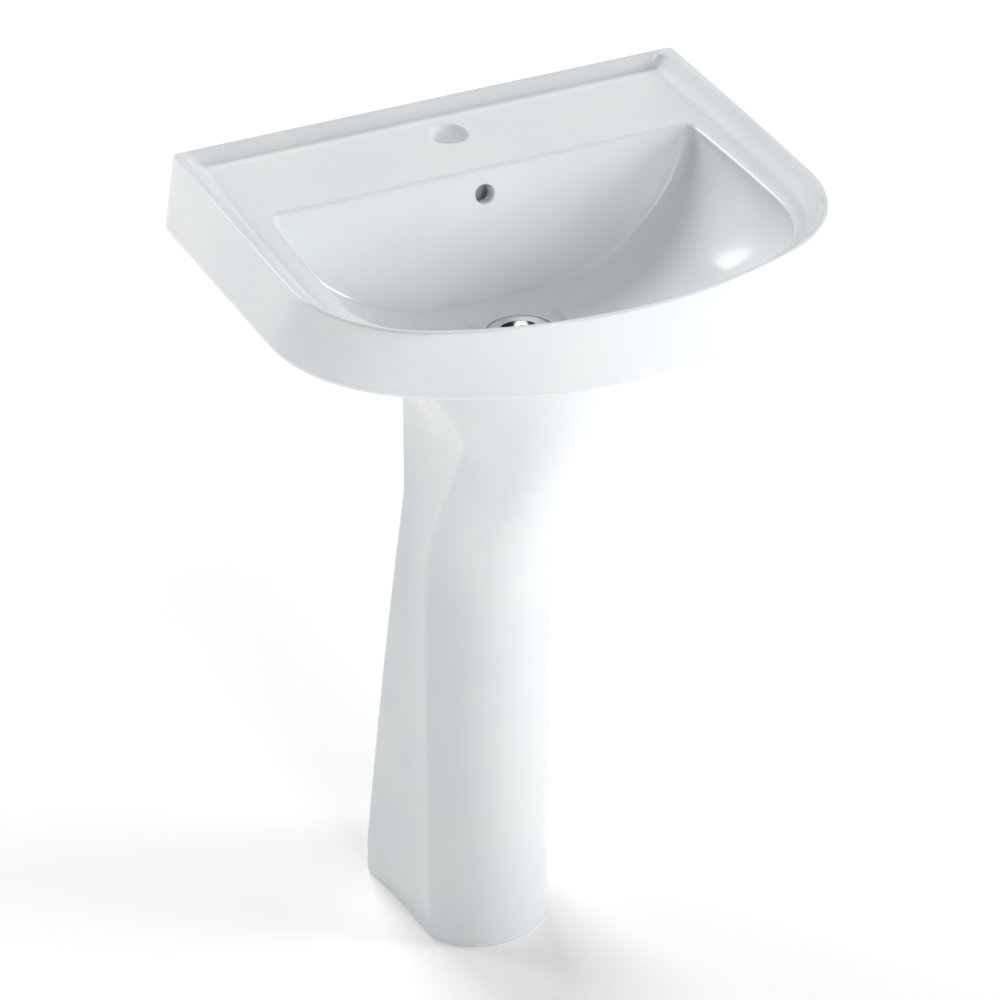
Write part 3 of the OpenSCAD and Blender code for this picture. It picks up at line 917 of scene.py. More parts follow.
# ---- Basin ---------------------------------------------------------------------------------------


@dataclass(frozen=True)
class Basin:
    """The basin: one china casting with its bowl, deck, rim, apron and overflow."""

    half_w: float = 250.0
    depth: float = 415.0
    rim_z: float = 800.0
    apron_h: float = 77.0
    apron_wall: float = 12.0
    rim_side_in: float = 6.0
    rim_fall: float = 3.0
    rim_back_in: float = 3.0
    foot_front_in: float = 7.0
    back_r: float = 2.0
    rim_corner_r: float = 130.0
    rim_front_r: float = 420.0
    foot_corner_r: float = 150.0
    foot_front_r: float = 318.0
    foot_round: float = 9.0
    foot_lift: float = 3.0
    deck_drop: float = 12.0
    deck_t: float = 16.0
    cove_w: float = 19.0
    crest_w: float = 6.0
    crest_back: float = 4.0
    ledge_w: float = 11.0
    lip_w: float = 8.0
    front_land: float = 6.0
    bowl_back: float = 118.0
    bowl_depth: float = 130.0
    bowl_slope: float = 0.2
    bowl_wall: float = 11.0
    bowl_corner_r: float = 92.0
    bowl_front_r: float = 395.0
    edge_r: float = 5.0
    side_power: float = 0.71
    fall_power: float = 1.33
    floor_turn: float = 84.0
    waste_y: float = 196.0
    waste_fall: float = 5.0
    boss_t: float = 26.0
    boss_r: float = 45.0
    seat_drop: float = 4.0
    seat_r: float = 32.0
    waste_hole_r: float = 23.0
    tap_hole_r: float = 17.5
    tap_hole_y: float = 48.0
    overflow_r: float = 8.5
    overflow_drop: float = 36.0
    duct_w: float = 22.0
    duct_depth: float = 12.0
    rib_wall: float = 9.0
    wall_hole_r: float = 7.0
    wall_hole_x: float = 140.0
    wall_hole_drop: float = 45.0

    @property
    def deck_z(self) -> float:
        """Height of the deck."""
        return self.rim_z - self.deck_drop

    @property
    def deck_under(self) -> float:
        """Height of the deck's underside."""
        return self.deck_z - self.deck_t

    @property
    def apron_foot(self) -> float:
        """Height of the apron's lower edge."""
        return self.rim_z - self.apron_h

    @property
    def bowl_top(self) -> float:
        """Height where the bowl's wall starts to turn out onto the deck."""
        return self.deck_z - self.edge_r

    @property
    def bowl_floor(self) -> float:
        """Height of the bowl's floor at its edge."""
        return self.rim_z - self.bowl_depth

    @property
    def waste_z(self) -> float:
        """Height of the floor at the waste."""
        return self.bowl_floor - self.waste_fall

    @property
    def boss_under(self) -> float:
        """Height of the underside of the boss that takes the waste."""
        return self.waste_z - self.boss_t

    def rim(self) -> Outline:
        """Gives the outside of the rim."""
        side = self.half_w - self.rim_side_in
        return Outline(
            side - self.rim_back_in,
            side,
            0.0,
            -self.depth,
            self.back_r,
            self.rim_corner_r,
            self.rim_front_r,
        )

    def foot(self) -> Outline:
        """Gives the outside of the apron's foot."""
        return Outline(
            self.half_w,
            self.half_w,
            0.0,
            self.foot_front_in - self.depth,
            self.back_r,
            self.foot_corner_r,
            self.foot_front_r,
        )

    def crest(self) -> Outline:
        """Gives the inner edge of the rim's crest."""
        side = self.half_w - self.rim_side_in - self.crest_w
        return Outline(
            side - 2 * self.rim_back_in,
            side,
            -self.crest_back,
            self.front_land - self.depth,
            12.0,
            self.rim_corner_r - self.crest_w,
            self.rim_front_r - self.front_land,
        )

    def ledge(self) -> Outline:
        """Gives the outer edge of the flat ledge and deck."""
        side = self.crest().side - self.cove_w
        return Outline(
            side - 3.0,
            side,
            -self.crest_back - self.lip_w,
            2 * self.front_land - self.depth,
            6.0,
            self.rim_corner_r - self.cove_w,
            self.rim_front_r - 2 * self.front_land,
        )

    def bowl_z(self, angle: float, outside: float = 0.0) -> float:
        """Gives the height of the bowl's wall where it has turned by an angle, in degrees."""
        fall = math.sin(math.radians(angle)) ** self.fall_power
        return self.bowl_top - (self.bowl_top - self.bowl_floor + outside) * fall

    def bowl(self, angle: float, outside: float = 0.0) -> Outline:
        """Gives the bowl's outline where its wall has turned by an angle.

        Args:
            angle: Turn of the wall, 0 at the edge and 90 on the floor, in degrees.
            outside: Distance outside the bowl's face.

        Returns:
            The outline.
        """
        share = math.cos(math.radians(angle)) ** self.side_power
        side = self.ledge().side - self.ledge_w - self.edge_r / 2
        reach = self.depth - 3.5 * self.front_land - self.waste_y
        return Outline(
            (side - self.edge_r) * share + outside,
            side * share + outside,
            self.back_wall_y(self.bowl_z(angle, outside)) + outside,
            -self.waste_y - reach * share - outside,
            10.0,
            mix(side * 0.82, self.bowl_corner_r, share) * share + outside,
            mix(side * 1.1, self.bowl_front_r, share) * share + outside,
        )

    def back_wall_y(self, z: float) -> float:
        """Gives the place of the bowl's sloping back wall at a height."""
        return -self.bowl_back - self.bowl_slope * (self.bowl_top - z)

    def bowl_level(self, angle: float, outside: float = 0.0) -> Ring:
        """Draws the bowl's wall at one turn."""
        return self.bowl(angle, outside).level(self.bowl_z(angle, outside))

    def floor_rings(self, last: float) -> list[Ring]:
        """Draws the floor from the waste's seat out to the bowl's wall.

        Args:
            last: Turn of the wall where the floor ends.

        Returns:
            The rings, from the waste outwards.
        """
        outline = self.bowl(last)
        lip = 1.2
        rings = [
            outline.circle(-self.waste_y, self.waste_hole_r, self.boss_under),
            outline.circle(-self.waste_y, self.waste_hole_r, self.waste_z - self.seat_drop),
            outline.circle(-self.waste_y, self.seat_r - 0.6, self.waste_z - self.seat_drop),
            outline.circle(-self.waste_y, self.seat_r, self.waste_z - self.seat_drop + 0.6),
        ]
        for angle in steps(5, 0.0, math.pi / 2):
            rings.append(
                outline.circle(
                    -self.waste_y,
                    self.seat_r + lip * (1 - math.cos(angle)),
                    self.waste_z - lip * (1 - math.sin(angle)),
                )
            )
        inner, outer = rings[-1], self.bowl_level(last)
        rings += [between(inner, outer, s, s**1.3) for s in steps(9)[1:-1]]
        return rings

    def rim_rings(self) -> list[Ring]:
        """Draws the surface from the bowl's edge over the deck, cove and crest to the rim."""
        edge = self.bowl(0.0)
        rings = []
        for angle in steps(8, 0.0, math.pi / 2)[1:]:
            out = self.edge_r * (1 - math.cos(angle))
            rings.append(edge.grown(out).level(self.bowl_top + self.edge_r * math.sin(angle)))
        ledge, crest, rim = self.ledge(), self.crest(), self.rim()
        deck_edge = edge.grown(self.edge_r)
        rings += [deck_edge.toward(ledge, s).level(self.deck_z) for s in (0.2, 0.5, 0.8, 0.94)]
        crest_drop = 2.2
        rise = self.deck_drop - crest_drop
        for share in steps(13):
            rings.append(ledge.toward(crest, share).level(self.deck_z + rise * share**1.6))
        # The crest rolls over from the cove to the rim's outside
        roll = [(0.14, 1.25), (0.28, 0.6), (0.42, 0.2), (0.55, 0.03), (0.68, 0.05)]
        roll += [(0.8, 0.35), (0.9, 0.95), (0.97, 1.8), (1.0, self.rim_fall)]
        rings += [crest.toward(rim, share).level(self.rim_z - drop) for share, drop in roll]
        return rings

    def apron_rings(self) -> list[Ring]:
        """Draws the apron's outside, its rounded foot and its inside."""
        rim, foot = self.rim(), self.foot()
        top, low = self.rim_z - self.rim_fall, self.apron_foot + self.foot_round
        rings = [rim.toward(foot, s).level(mix(top, low, s)) for s in steps(10)[1:]]
        for angle in steps(8, 0.0, math.pi / 2)[1:]:
            inset = self.foot_round * (1 - math.cos(angle))
            rings.append(foot.grown(-inset).level(low - self.foot_round * math.sin(angle)))
        for share in (0.35, 0.75, 1.0):
            inset = mix(self.foot_round, self.apron_wall, share)
            rings.append(foot.grown(-inset).level(self.apron_foot + self.foot_lift * share**2))
        return rings

    def under_rings(self) -> list[Ring]:
        """Draws the underside: the deck's recess, the bowl's outside and the waste's boss."""
        far = self.rim().toward(self.foot(), 0.4).grown(-self.apron_wall)
        near = self.bowl(23.0, self.bowl_wall)
        low = self.bowl_z(25.0)

        def recess(outline: Outline) -> Ring:
            """Follows the deck's underside, which falls to clear the bowl further forward."""
            return [
                (x, y, mix(self.deck_under, low, ease((-y - self.bowl_back + 25) / 35)))
                for x, y in outline.ring()
            ]

        foot_z = self.apron_foot + self.foot_lift
        inside = self.foot().grown(-self.apron_wall).level(foot_z)
        top = recess(far)
        rings = [between(inside, top, s, s) for s in (0.3, 0.6, 0.85, 0.96)]
        rings += [recess(far.toward(near, s)) for s in (0.0, 0.06, 0.3, 0.6, 0.83, 0.95, 1.0)]
        turns = (26.0, 29.0, 32.0, 36.0, 40.0, 45.0, 50.0, 55.0, 60.0, 65.0, 70.0, 74.0, 78.0)
        rings += [self.bowl_level(turn, self.bowl_wall) for turn in turns]
        outline = self.bowl(78.0, self.bowl_wall)
        rings.append(
            outline.circle(-self.waste_y, self.boss_r + 5, self.waste_z - self.bowl_wall)
        )
        rings.append(outline.circle(-self.waste_y, self.boss_r, self.waste_z - self.bowl_wall - 4))
        rings.append(outline.circle(-self.waste_y, self.boss_r, self.boss_under + 2))
        rings.append(outline.circle(-self.waste_y, self.boss_r - 2, self.boss_under))
        return rings

    def flared_hole(self, radius: float, length: float, flare: float) -> bpy.types.Mesh:
        """Makes the cutter of a hole with a rolled edge.

        Args:
            radius: Radius of the hole.
            length: Depth of the cut below the surface.
            flare: Radius of the rolled edge.

        Returns:
            The cutter about the origin, with the surface at height 0 and the hole below it.
        """
        outline: list[Point] = [(0.0, -length), (radius, -length)]
        for angle in steps(8, 0.0, math.pi / 2):
            outline.append(
                (radius + flare * (1 - math.cos(angle)), flare * (math.sin(angle) - 1) + 0.01)
            )
        outline += [(radius + flare, 6.0), (0.0, 6.0)]
        return lathe_mesh("cutter", outline, 64)

    def tools(self) -> list[tuple[Cut, bpy.types.Mesh]]:
        """Lists the solids that are fused to the casting and cut out of it, in order."""
        inner = self.bowl_wall + 1
        outer = self.bowl_wall + self.duct_depth + self.rib_wall
        overflow_z = self.rim_z - self.overflow_drop
        duct_top = overflow_z + self.overflow_r
        duct_low = self.waste_z - 10
        boss_y = self.back_wall_y(self.boss_under)
        rib_top = self.deck_z - self.deck_t / 2
        rib = flat_prism(
            "rib",
            [
                (self.back_wall_y(self.bowl_top) + self.bowl_wall / 2, rib_top),
                (self.back_wall_y(self.bowl_top) + outer, rib_top),
                (boss_y + outer, self.boss_under),
                (self.boss_r * 0.6 - self.waste_y, self.boss_under),
                (self.boss_r * 0.8 - self.waste_y, self.waste_z - 2.5),
                (self.back_wall_y(self.bowl_floor) + self.bowl_wall / 2, self.bowl_floor),
            ],
            self.duct_w + 2 * self.rib_wall,
        )
        duct = flat_prism(
            "duct",
            [
                (self.back_wall_y(duct_top) + inner, duct_top),
                (self.back_wall_y(duct_top) + inner + self.duct_depth, duct_top),
                (boss_y + inner + self.duct_depth, duct_low - self.duct_depth),
                (-self.waste_y, duct_low - self.duct_depth),
                (-self.waste_y, duct_low),
                (self.back_wall_y(duct_low) + inner, duct_low),
            ],
            self.duct_w,
        )
        lean = math.atan(self.bowl_slope)
        overflow = moved(
            self.flared_hole(self.overflow_r, self.bowl_wall + 6, 2.0),
            Matrix.Translation(to_frame((0, self.back_wall_y(overflow_z), overflow_z)))
            @ Matrix.Rotation(math.pi / 2 - lean, 4, "X"),
        )
        deck_place = to_frame((0, -self.tap_hole_y, self.deck_z))
        tap = moved(
            self.flared_hole(self.tap_hole_r, self.deck_t + 4, 1.6), Matrix.Translation(deck_place)
        )
        found = [(Cut.ONTO, rib), (Cut.AWAY, duct), (Cut.AWAY, overflow), (Cut.AWAY, tap)]
        for side in (-1, 1):
            place = to_frame((side * self.wall_hole_x, 0, self.rim_z - self.wall_hole_drop))
            hole = self.flared_hole(self.wall_hole_r, self.apron_wall + 8, 1.0)
            turn = Matrix.Rotation(-math.pi / 2, 4, "X")
            found.append((Cut.AWAY, moved(hole, Matrix.Translation(place) @ turn)))
        return found

    def build(self) -> Object:
        """Builds the basin, glazed all over."""
        inside = self.floor_rings(self.floor_turn)
        inside += [self.bowl_level(turn) for turn in steps(34, self.floor_turn, 0.0)]
        inside += self.rim_rings() + self.apron_rings()
        mesh = skin_mesh("basin", inside + self.under_rings())
        piece = new_object("basin_casting", mesh, BASIN_GLAZE)
        combine(piece, self.tools())
        hand_over(piece, BASIN_GLAZE, Body.ROOT, "basin")
        return piece


# ---- Pedestal ------------------------------------------------------------------------------------


@dataclass(frozen=True)
class Pedestal:
    """The pedestal: a slip-cast china shell, open at the back, that leans out into a collar."""

    top_z: float
    foot_w: float = 136.0
    foot_d: float = 168.0
    foot_h: float = 30.0
    waist_w: float = 140.0
    waist_z: float = 370.0
    shoulder_z: float = 555.0
    back_z: float = 472.0
    back_power: float = 1.1
    collar_w: float = 200.0
    collar_front: float = 276.0
    collar_back: float = 96.0
    collar_taper: float = 10.0
    taper: float = 8.0
    wall: float = 11.0
    nose_r: float = 24.0
    nose_flat: float = 1.16
    collar_r: float = 80.0
    collar_flat: float = 2.5
    lug_t: float = 12.0
    lug_l: float = 30.0
    lug_y: float = 24.0
    floor_hole_x: float = 43.0
    floor_hole_r: float = 4.0
    top_round: float = 3.0
    foot_round: float = 5.0

    def outline(self, z: float) -> Outline:
        """Gives the outside at a height: a waisted column that leans forward into its collar."""
        forward = ease((z - self.waist_z) / (self.top_z - self.waist_z))
        widen = ease((z - self.shoulder_z) / (self.top_z - self.shoulder_z))
        low = 1 - ease((z - self.foot_h) / (self.waist_z - self.foot_h))
        rise = (z - self.foot_h) / (self.back_z - self.foot_h)
        lean = min(1.0, max(0.0, rise)) ** self.back_power
        half = mix(mix(self.waist_w, self.foot_w, low), self.collar_w, widen) / 2
        side = half - self.taper * (1 - widen)
        corner = mix(self.nose_r, self.collar_r, widen)
        return Outline(
            half - self.collar_taper * widen,
            side,
            -self.collar_back * lean,
            mix(-self.foot_d, -self.collar_front, forward),
            1.0,
            corner,
            corner + (side - corner) * mix(self.nose_flat, self.collar_flat, widen),
        )

    def level(self, z: float, inset: float) -> Ring:
        """Draws the wall at a height, inset on both faces, from the middle of its right edge.

        Args:
            z: Height of the level.
            inset: Distance from each face of the wall into it.

        Returns:
            The closed loop: outside, left edge, inside, right edge.
        """
        outline = self.outline(z)
        skip = BACK_STEPS + BEND_STEPS
        thick = self.wall / 2 - inset
        back_y = outline.back_y - self.wall / 2
        outer = replace(outline.grown(-inset), back_y=back_y + 1)
        inner = replace(outline.grown(inset - self.wall), back_y=back_y + 1)
        outside = replace(outer, back_r=1.0).half()[skip:]
        inside = replace(inner, back_r=1.0).half()[skip:]
        middle = (outside[0][0] + inside[0][0]) / 2
        arc = [
            (middle + thick * math.cos(a), back_y + thick * math.sin(a))
            for a in steps(11, math.pi / 2, 0.0)[:-1]
        ]
        right = arc + outside
        left = [(-x, y) for x, y in reversed(right[:-1])]
        far = [(2 * middle - x, y) for x, y in arc] + inside
        back = [(-x, y) for x, y in far]
        ring = right + left + back + list(reversed(far[:-1]))
        return [(x, y, z) for x, y in ring]

    def shell(self) -> bpy.types.Mesh:
        """Makes the shell's closed mesh."""
        top = [
            (self.top_z - self.top_round * (1 - math.cos(a)), self.top_round * (1 - math.sin(a)))
            for a in steps(6, 0.0, math.pi / 2)
        ]
        foot = [
            (self.foot_round * (1 - math.cos(a)), self.foot_round * (1 - math.sin(a)))
            for a in steps(7, 0.0, math.pi / 2)
        ]
        body = [(z, 0.0) for z in steps(64, self.top_z - self.top_round, self.foot_round)[1:-1]]
        rows = top + body + list(reversed(foot))
        rings = [self.level(z, inset) for z, inset in rows]
        count = len(rings[0])
        mesh = skin_mesh("pedestal", rings, False)
        return closed_by_strips(mesh, count, (len(rings) - 1) * count)

    def tools(self) -> list[tuple[Cut, bpy.types.Mesh]]:
        """Lists the lugs for the floor's screws and the holes through them."""
        reach = self.foot_w / 2 - self.floor_hole_x + 2 * self.floor_hole_r + 2
        found = []
        for side in (-1, 1):
            middle = side * (self.foot_w / 2 - self.wall / 2 - reach / 2)
            lug = bpy.data.meshes.new("lug")
            work = bmesh.new()
            size = Matrix.Diagonal((reach * MM, self.lug_l * MM, self.lug_t * MM, 1))
            place = Matrix.Translation(to_frame((middle, -self.lug_y, self.lug_t / 2)))
            bmesh.ops.create_cube(work, size=1.0, matrix=place @ size)
            bmesh.ops.bevel(
                work, geom=work.edges[:], offset=2 * MM, segments=3, profile=0.5, affect="EDGES"
            )
            work.to_mesh(lug)
            work.free()
            found.append((Cut.ONTO, lug))
        reach_up = self.lug_t + 2
        bore = [(0, -1), (self.floor_hole_r, -1), (self.floor_hole_r, reach_up), (0, reach_up)]
        for side in (-1, 1):
            hole = lathe_mesh("hole", bore, 40)
            place = to_frame((side * self.floor_hole_x, -self.lug_y, 0))
            found.append((Cut.AWAY, moved(hole, Matrix.Translation(place))))
        return found

    def build(self) -> Object:
        """Builds the pedestal."""
        piece = new_object("pedestal_shell", self.shell(), PEDESTAL_GLAZE)
        combine(piece, self.tools())
        hand_over(piece, PEDESTAL_GLAZE, Body.ROOT, "pedestal")
        return piece


def closed_by_strips(mesh: bpy.types.Mesh, count: int, foot: int) -> bpy.types.Mesh:
    """Closes a skin of C-shaped loops at both ends with strips from outside to inside.

    Args:
        mesh: The open skin, whose first loop is on top.
        count: Points in a loop.
        foot: Index of the last loop's first point.

    Returns:
        The closed mesh.
    """
    work = bmesh.new()
    work.from_mesh(mesh)
    work.verts.ensure_lookup_table()
    points = list(work.verts)
    for i in range(count // 2 - 1):
        near, far = i, count - 1 - i
        work.faces.new([points[k] for k in (near, far, far - 1, near + 1)])
        work.faces.new([points[foot + k] for k in (near, near + 1, far - 1, far)])
    work.to_mesh(mesh)
    work.free()
    tidy_closed(mesh)
    return mesh


# ---- Round pieces of the waste and trap ----------------------------------------------------------


def above(mesh: bpy.types.Mesh, distance: float, height: float) -> bpy.types.Mesh:
    """Stands a mesh on an upright axis in the middle plane.

    Args:
        mesh: Mesh about the origin, in metres.
        distance: Distance of the axis from the wall, in millimetres.
        height: Height above the floor, in millimetres.

    Returns:
        The mesh, in the part's frame.
    """
    return moved(mesh, Matrix.Translation(to_frame((0, -distance, height))))


def towards_wall(mesh: bpy.types.Mesh, distance: float, height: float) -> bpy.types.Mesh:
    """Lays a mesh on a level axis, with its own top towards the wall.

    Args:
        mesh: Mesh about the origin, in metres.
        distance: Distance of its foot from the wall, in millimetres.
        height: Height of the axis, in millimetres.

    Returns:
        The mesh, in the part's frame.
    """
    turn = Matrix.Rotation(-math.pi / 2, 4, "X")
    return moved(mesh, Matrix.Translation(to_frame((0, -distance, height))) @ turn)


def ring_outline(inner: float, outer: float, tall: float, rounding: float) -> list[Point]:
    """Draws a flat ring's outline with rounded edges, from height 0 up."""
    return rounded(
        [
            (inner, 0.0, rounding * 0.6),
            (outer, 0.0, rounding),
            (outer, tall, rounding),
            (inner, tall, rounding * 0.6),
        ]
    )


def block_mesh(size: Point3, middle: Point3, rounding: float = 0.0) -> bpy.types.Mesh:
    """Makes a block with rounded edges.

    Args:
        size: Its size, in millimetres.
        middle: Its middle, in millimetres from the origin.
        rounding: Radius of its edges.

    Returns:
        The mesh in metres.
    """
    mesh = bpy.data.meshes.new("block")
    work = bmesh.new()
    scale = Matrix.Diagonal((size[0] * MM, size[1] * MM, size[2] * MM, 1))
    place = Matrix.Translation(Vector(middle) * MM)
    bmesh.ops.create_cube(work, size=1.0, matrix=place @ scale)
    if rounding > 0:
        bmesh.ops.bevel(
            work, geom=work.edges[:], offset=rounding * MM, segments=3, profile=0.5, affect="EDGES"
        )
    work.to_mesh(mesh)
    work.free()
    return mesh


def hex_nut(name: str, finish: Finish, across: float, tall: float, bore: list[Point]) -> Object:
    """Makes a hexagon nut whose corners are turned off at both faces.

    Args:
        name: Name of the piece.
        finish: Its finish.
        across: Width over the flats.
        tall: Height.
        bore: Outline of the bore from its lower to its upper edge.

    Returns:
        The nut about the origin.
    """
    corner, flat = across / math.sqrt(3), across / 2
    turned = (corner - flat) * 0.62
    outline = [(flat - 0.4, 0.0), (corner + 0.2, turned), (corner + 0.2, tall - turned)]
    outline += [(flat - 0.4, tall)] + list(reversed(bore))
    piece = new_object(name, lathe_mesh(name, outline, 96), finish)
    prism = lathe_mesh("prism", [(0, -1), (corner, -1), (corner, tall + 1), (0, tall + 1)], 6)
    combine(piece, [(Cut.WITHIN, prism)])
    return soften(piece, 0.35)


@dataclass(frozen=True)
class Waste:
    """The waste: a dished chrome flange on a threaded tail, with its seals and backnut."""

    distance: float = 196.0
    top_z: float = 665.0
    length: float = 62.0
    throat_r: float = 16.5
    tail_r: float = 20.9
    core_r: float = 19.7
    flange_r: float = 31.0
    recess: float = 2.5
    seat_depth: float = 17.0
    bar_drop: float = 22.0
    bar_t: float = 3.0
    pitch: float = 2.309
    slot_z: float = 649.0
    slot_w: float = 14.0
    slot_h: float = 18.0
    nut_across: float = 53.8

    @property
    def foot_z(self) -> float:
        """Height of the tail's lower end."""
        return self.top_z - self.length

    def body(self) -> Object:
        """Makes the flange, throat, crossed bars and tail, all of one casting."""
        top, seat = self.length, self.throat_r + 1
        outline = rounded(
            [
                (self.throat_r, 0.0, 0.5),
                (self.core_r, 0.0, 0.9),
                (self.core_r, top - 8, 0.4),
                (self.tail_r, top - 7, 0.3),
                (self.tail_r, top - self.recess, 0.3),
                (self.flange_r, top - self.recess, 0.5),
                (self.flange_r, top - 0.9, 1.0),
                (self.flange_r - 2.4, top + 0.5, 1.6),
                (self.throat_r + 6, top - 0.9, 3.0),
                (seat, top - 3, 1.6),
                (seat, top - self.seat_depth, 0.2),
                (self.throat_r, top - self.seat_depth, 0.3),
            ],
            7,
        )
        turned = lathe_mesh("waste", outline, 144)
        piece = new_object("waste_flange_and_tail", turned, WASTE_CHROME)
        low = top - self.bar_drop + self.bar_t / 2
        span = 2 * self.throat_r + 1.6
        bar = (span, self.bar_t, self.bar_t)
        across = (self.bar_t, span, self.bar_t)
        slot_z = self.slot_z - self.foot_z
        tools = [
            (Cut.ONTO, block_mesh(bar, (0, 0, low), 0.8)),
            (Cut.ONTO, block_mesh(across, (0, 0, low), 0.8)),
        ]
        for side in (-1, 1):
            slot = (self.slot_w, self.tail_r, self.slot_h)
            tools.append((Cut.AWAY, block_mesh(slot, (0, side * self.tail_r, slot_z), 2.0)))
        combine(piece, tools)
        turns = (self.slot_z - self.slot_h / 2 - 4 - self.foot_z) / self.pitch
        thread_recipe().apply(
            piece,
            WASTE_CHROME,
            {
                "Radius": (self.tail_r - 1.15) * MM,
                "Pitch": self.pitch * MM,
                "Turns": turns,
                "Depth": 1.1 * MM,
                "Foot": 2.2 * MM,
            },
        )
        above(piece.data, self.distance, self.foot_z)
        return piece

    def washer(self, node: str, outer: float, rounding: float, finish: Finish) -> None:
        """Makes a flat ring round the tail in the place of a node."""
        low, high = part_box(node)
        tall = (high.z - low.z) / MM
        mesh = lathe_mesh(node, ring_outline(self.tail_r + 0.05, outer, tall, rounding))
        piece = new_object(f"{node}_ring", above(mesh, self.distance, low.z / MM), finish)
        hand_over(piece, finish, Body.ROOT, node)

    def backnut(self) -> Object:
        """Makes the brass backnut, with the bore's thread lead turned in."""
        low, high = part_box("waste_backnut")
        tall = (high.z - low.z) / MM
        bore = [
            (self.tail_r + 0.9, 0.0),
            (self.tail_r + 0.02, 0.9),
            (self.tail_r + 0.02, tall - 0.9),
            (self.tail_r + 0.9, tall),
        ]
        piece = hex_nut("waste_brass_backnut", BRASS, self.nut_across, tall, bore)
        above(piece.data, self.distance, low.z / MM)
        return piece

    def build(self) -> None:
        """Builds the waste and everything that clamps it to the china."""
        hand_over(self.body(), WASTE_CHROME, Body.ROOT, "waste_body")
        self.washer("waste_top_seal", 30.0, 0.5, CLEAR_SEAL)
        self.washer("waste_lower_seal", 30.9, 1.8, RUBBER)
        self.washer("waste_slip_washer", 30.9, 0.5, PIPE_PLASTIC)
        hand_over(self.backnut(), BRASS, Body.ROOT, "waste_backnut")


# ---- Trap ----------------------------------------------------------------------------------------


def pipe_mesh(
    name: str, run: list[tuple[float, float, float]], seam: float = 0.0, sides: int = 96
) -> bpy.types.Mesh:
    """Sweeps a solid round rod along a run in the middle plane.

    Args:
        name: Name of the mesh.
        run: Each place's distance from the wall plane, height and radius, in millimetres.
        seam: Height of the mould's parting line on the rod.
        sides: Faces round the rod.

    Returns:
        The closed mesh, in the part's frame.
    """
    points: list[Vector] = []
    last = len(run) - 1
    for i, (y, z, radius) in enumerate(run):
        before, after = run[max(0, i - 1)], run[min(last, i + 1)]
        along = Vector((after[0] - before[0], after[1] - before[1])).normalized()
        for k in range(sides):
            angle = math.tau * k / sides
            reach = radius + (seam if k in (sides // 4, 3 * sides // 4) else 0.0)
            side, up = reach * math.cos(angle), reach * math.sin(angle)
            points.append(to_frame((side, y - along.y * up, z + along.x * up)))
    faces: list[tuple[int, ...]] = [
        tuple(range(sides)),
        tuple(range(last * sides + sides - 1, last * sides - 1, -1)),
    ]
    for i in range(last):
        for k in range(sides):
            m = (k + 1) % sides
            near, far = i * sides, (i + 1) * sides
            faces.append((near + k, far + k, far + m, near + m))
    mesh = bpy.data.meshes.new(name)
    mesh.from_pydata(points, [], faces)
    tidy_closed(mesh)
    return mesh


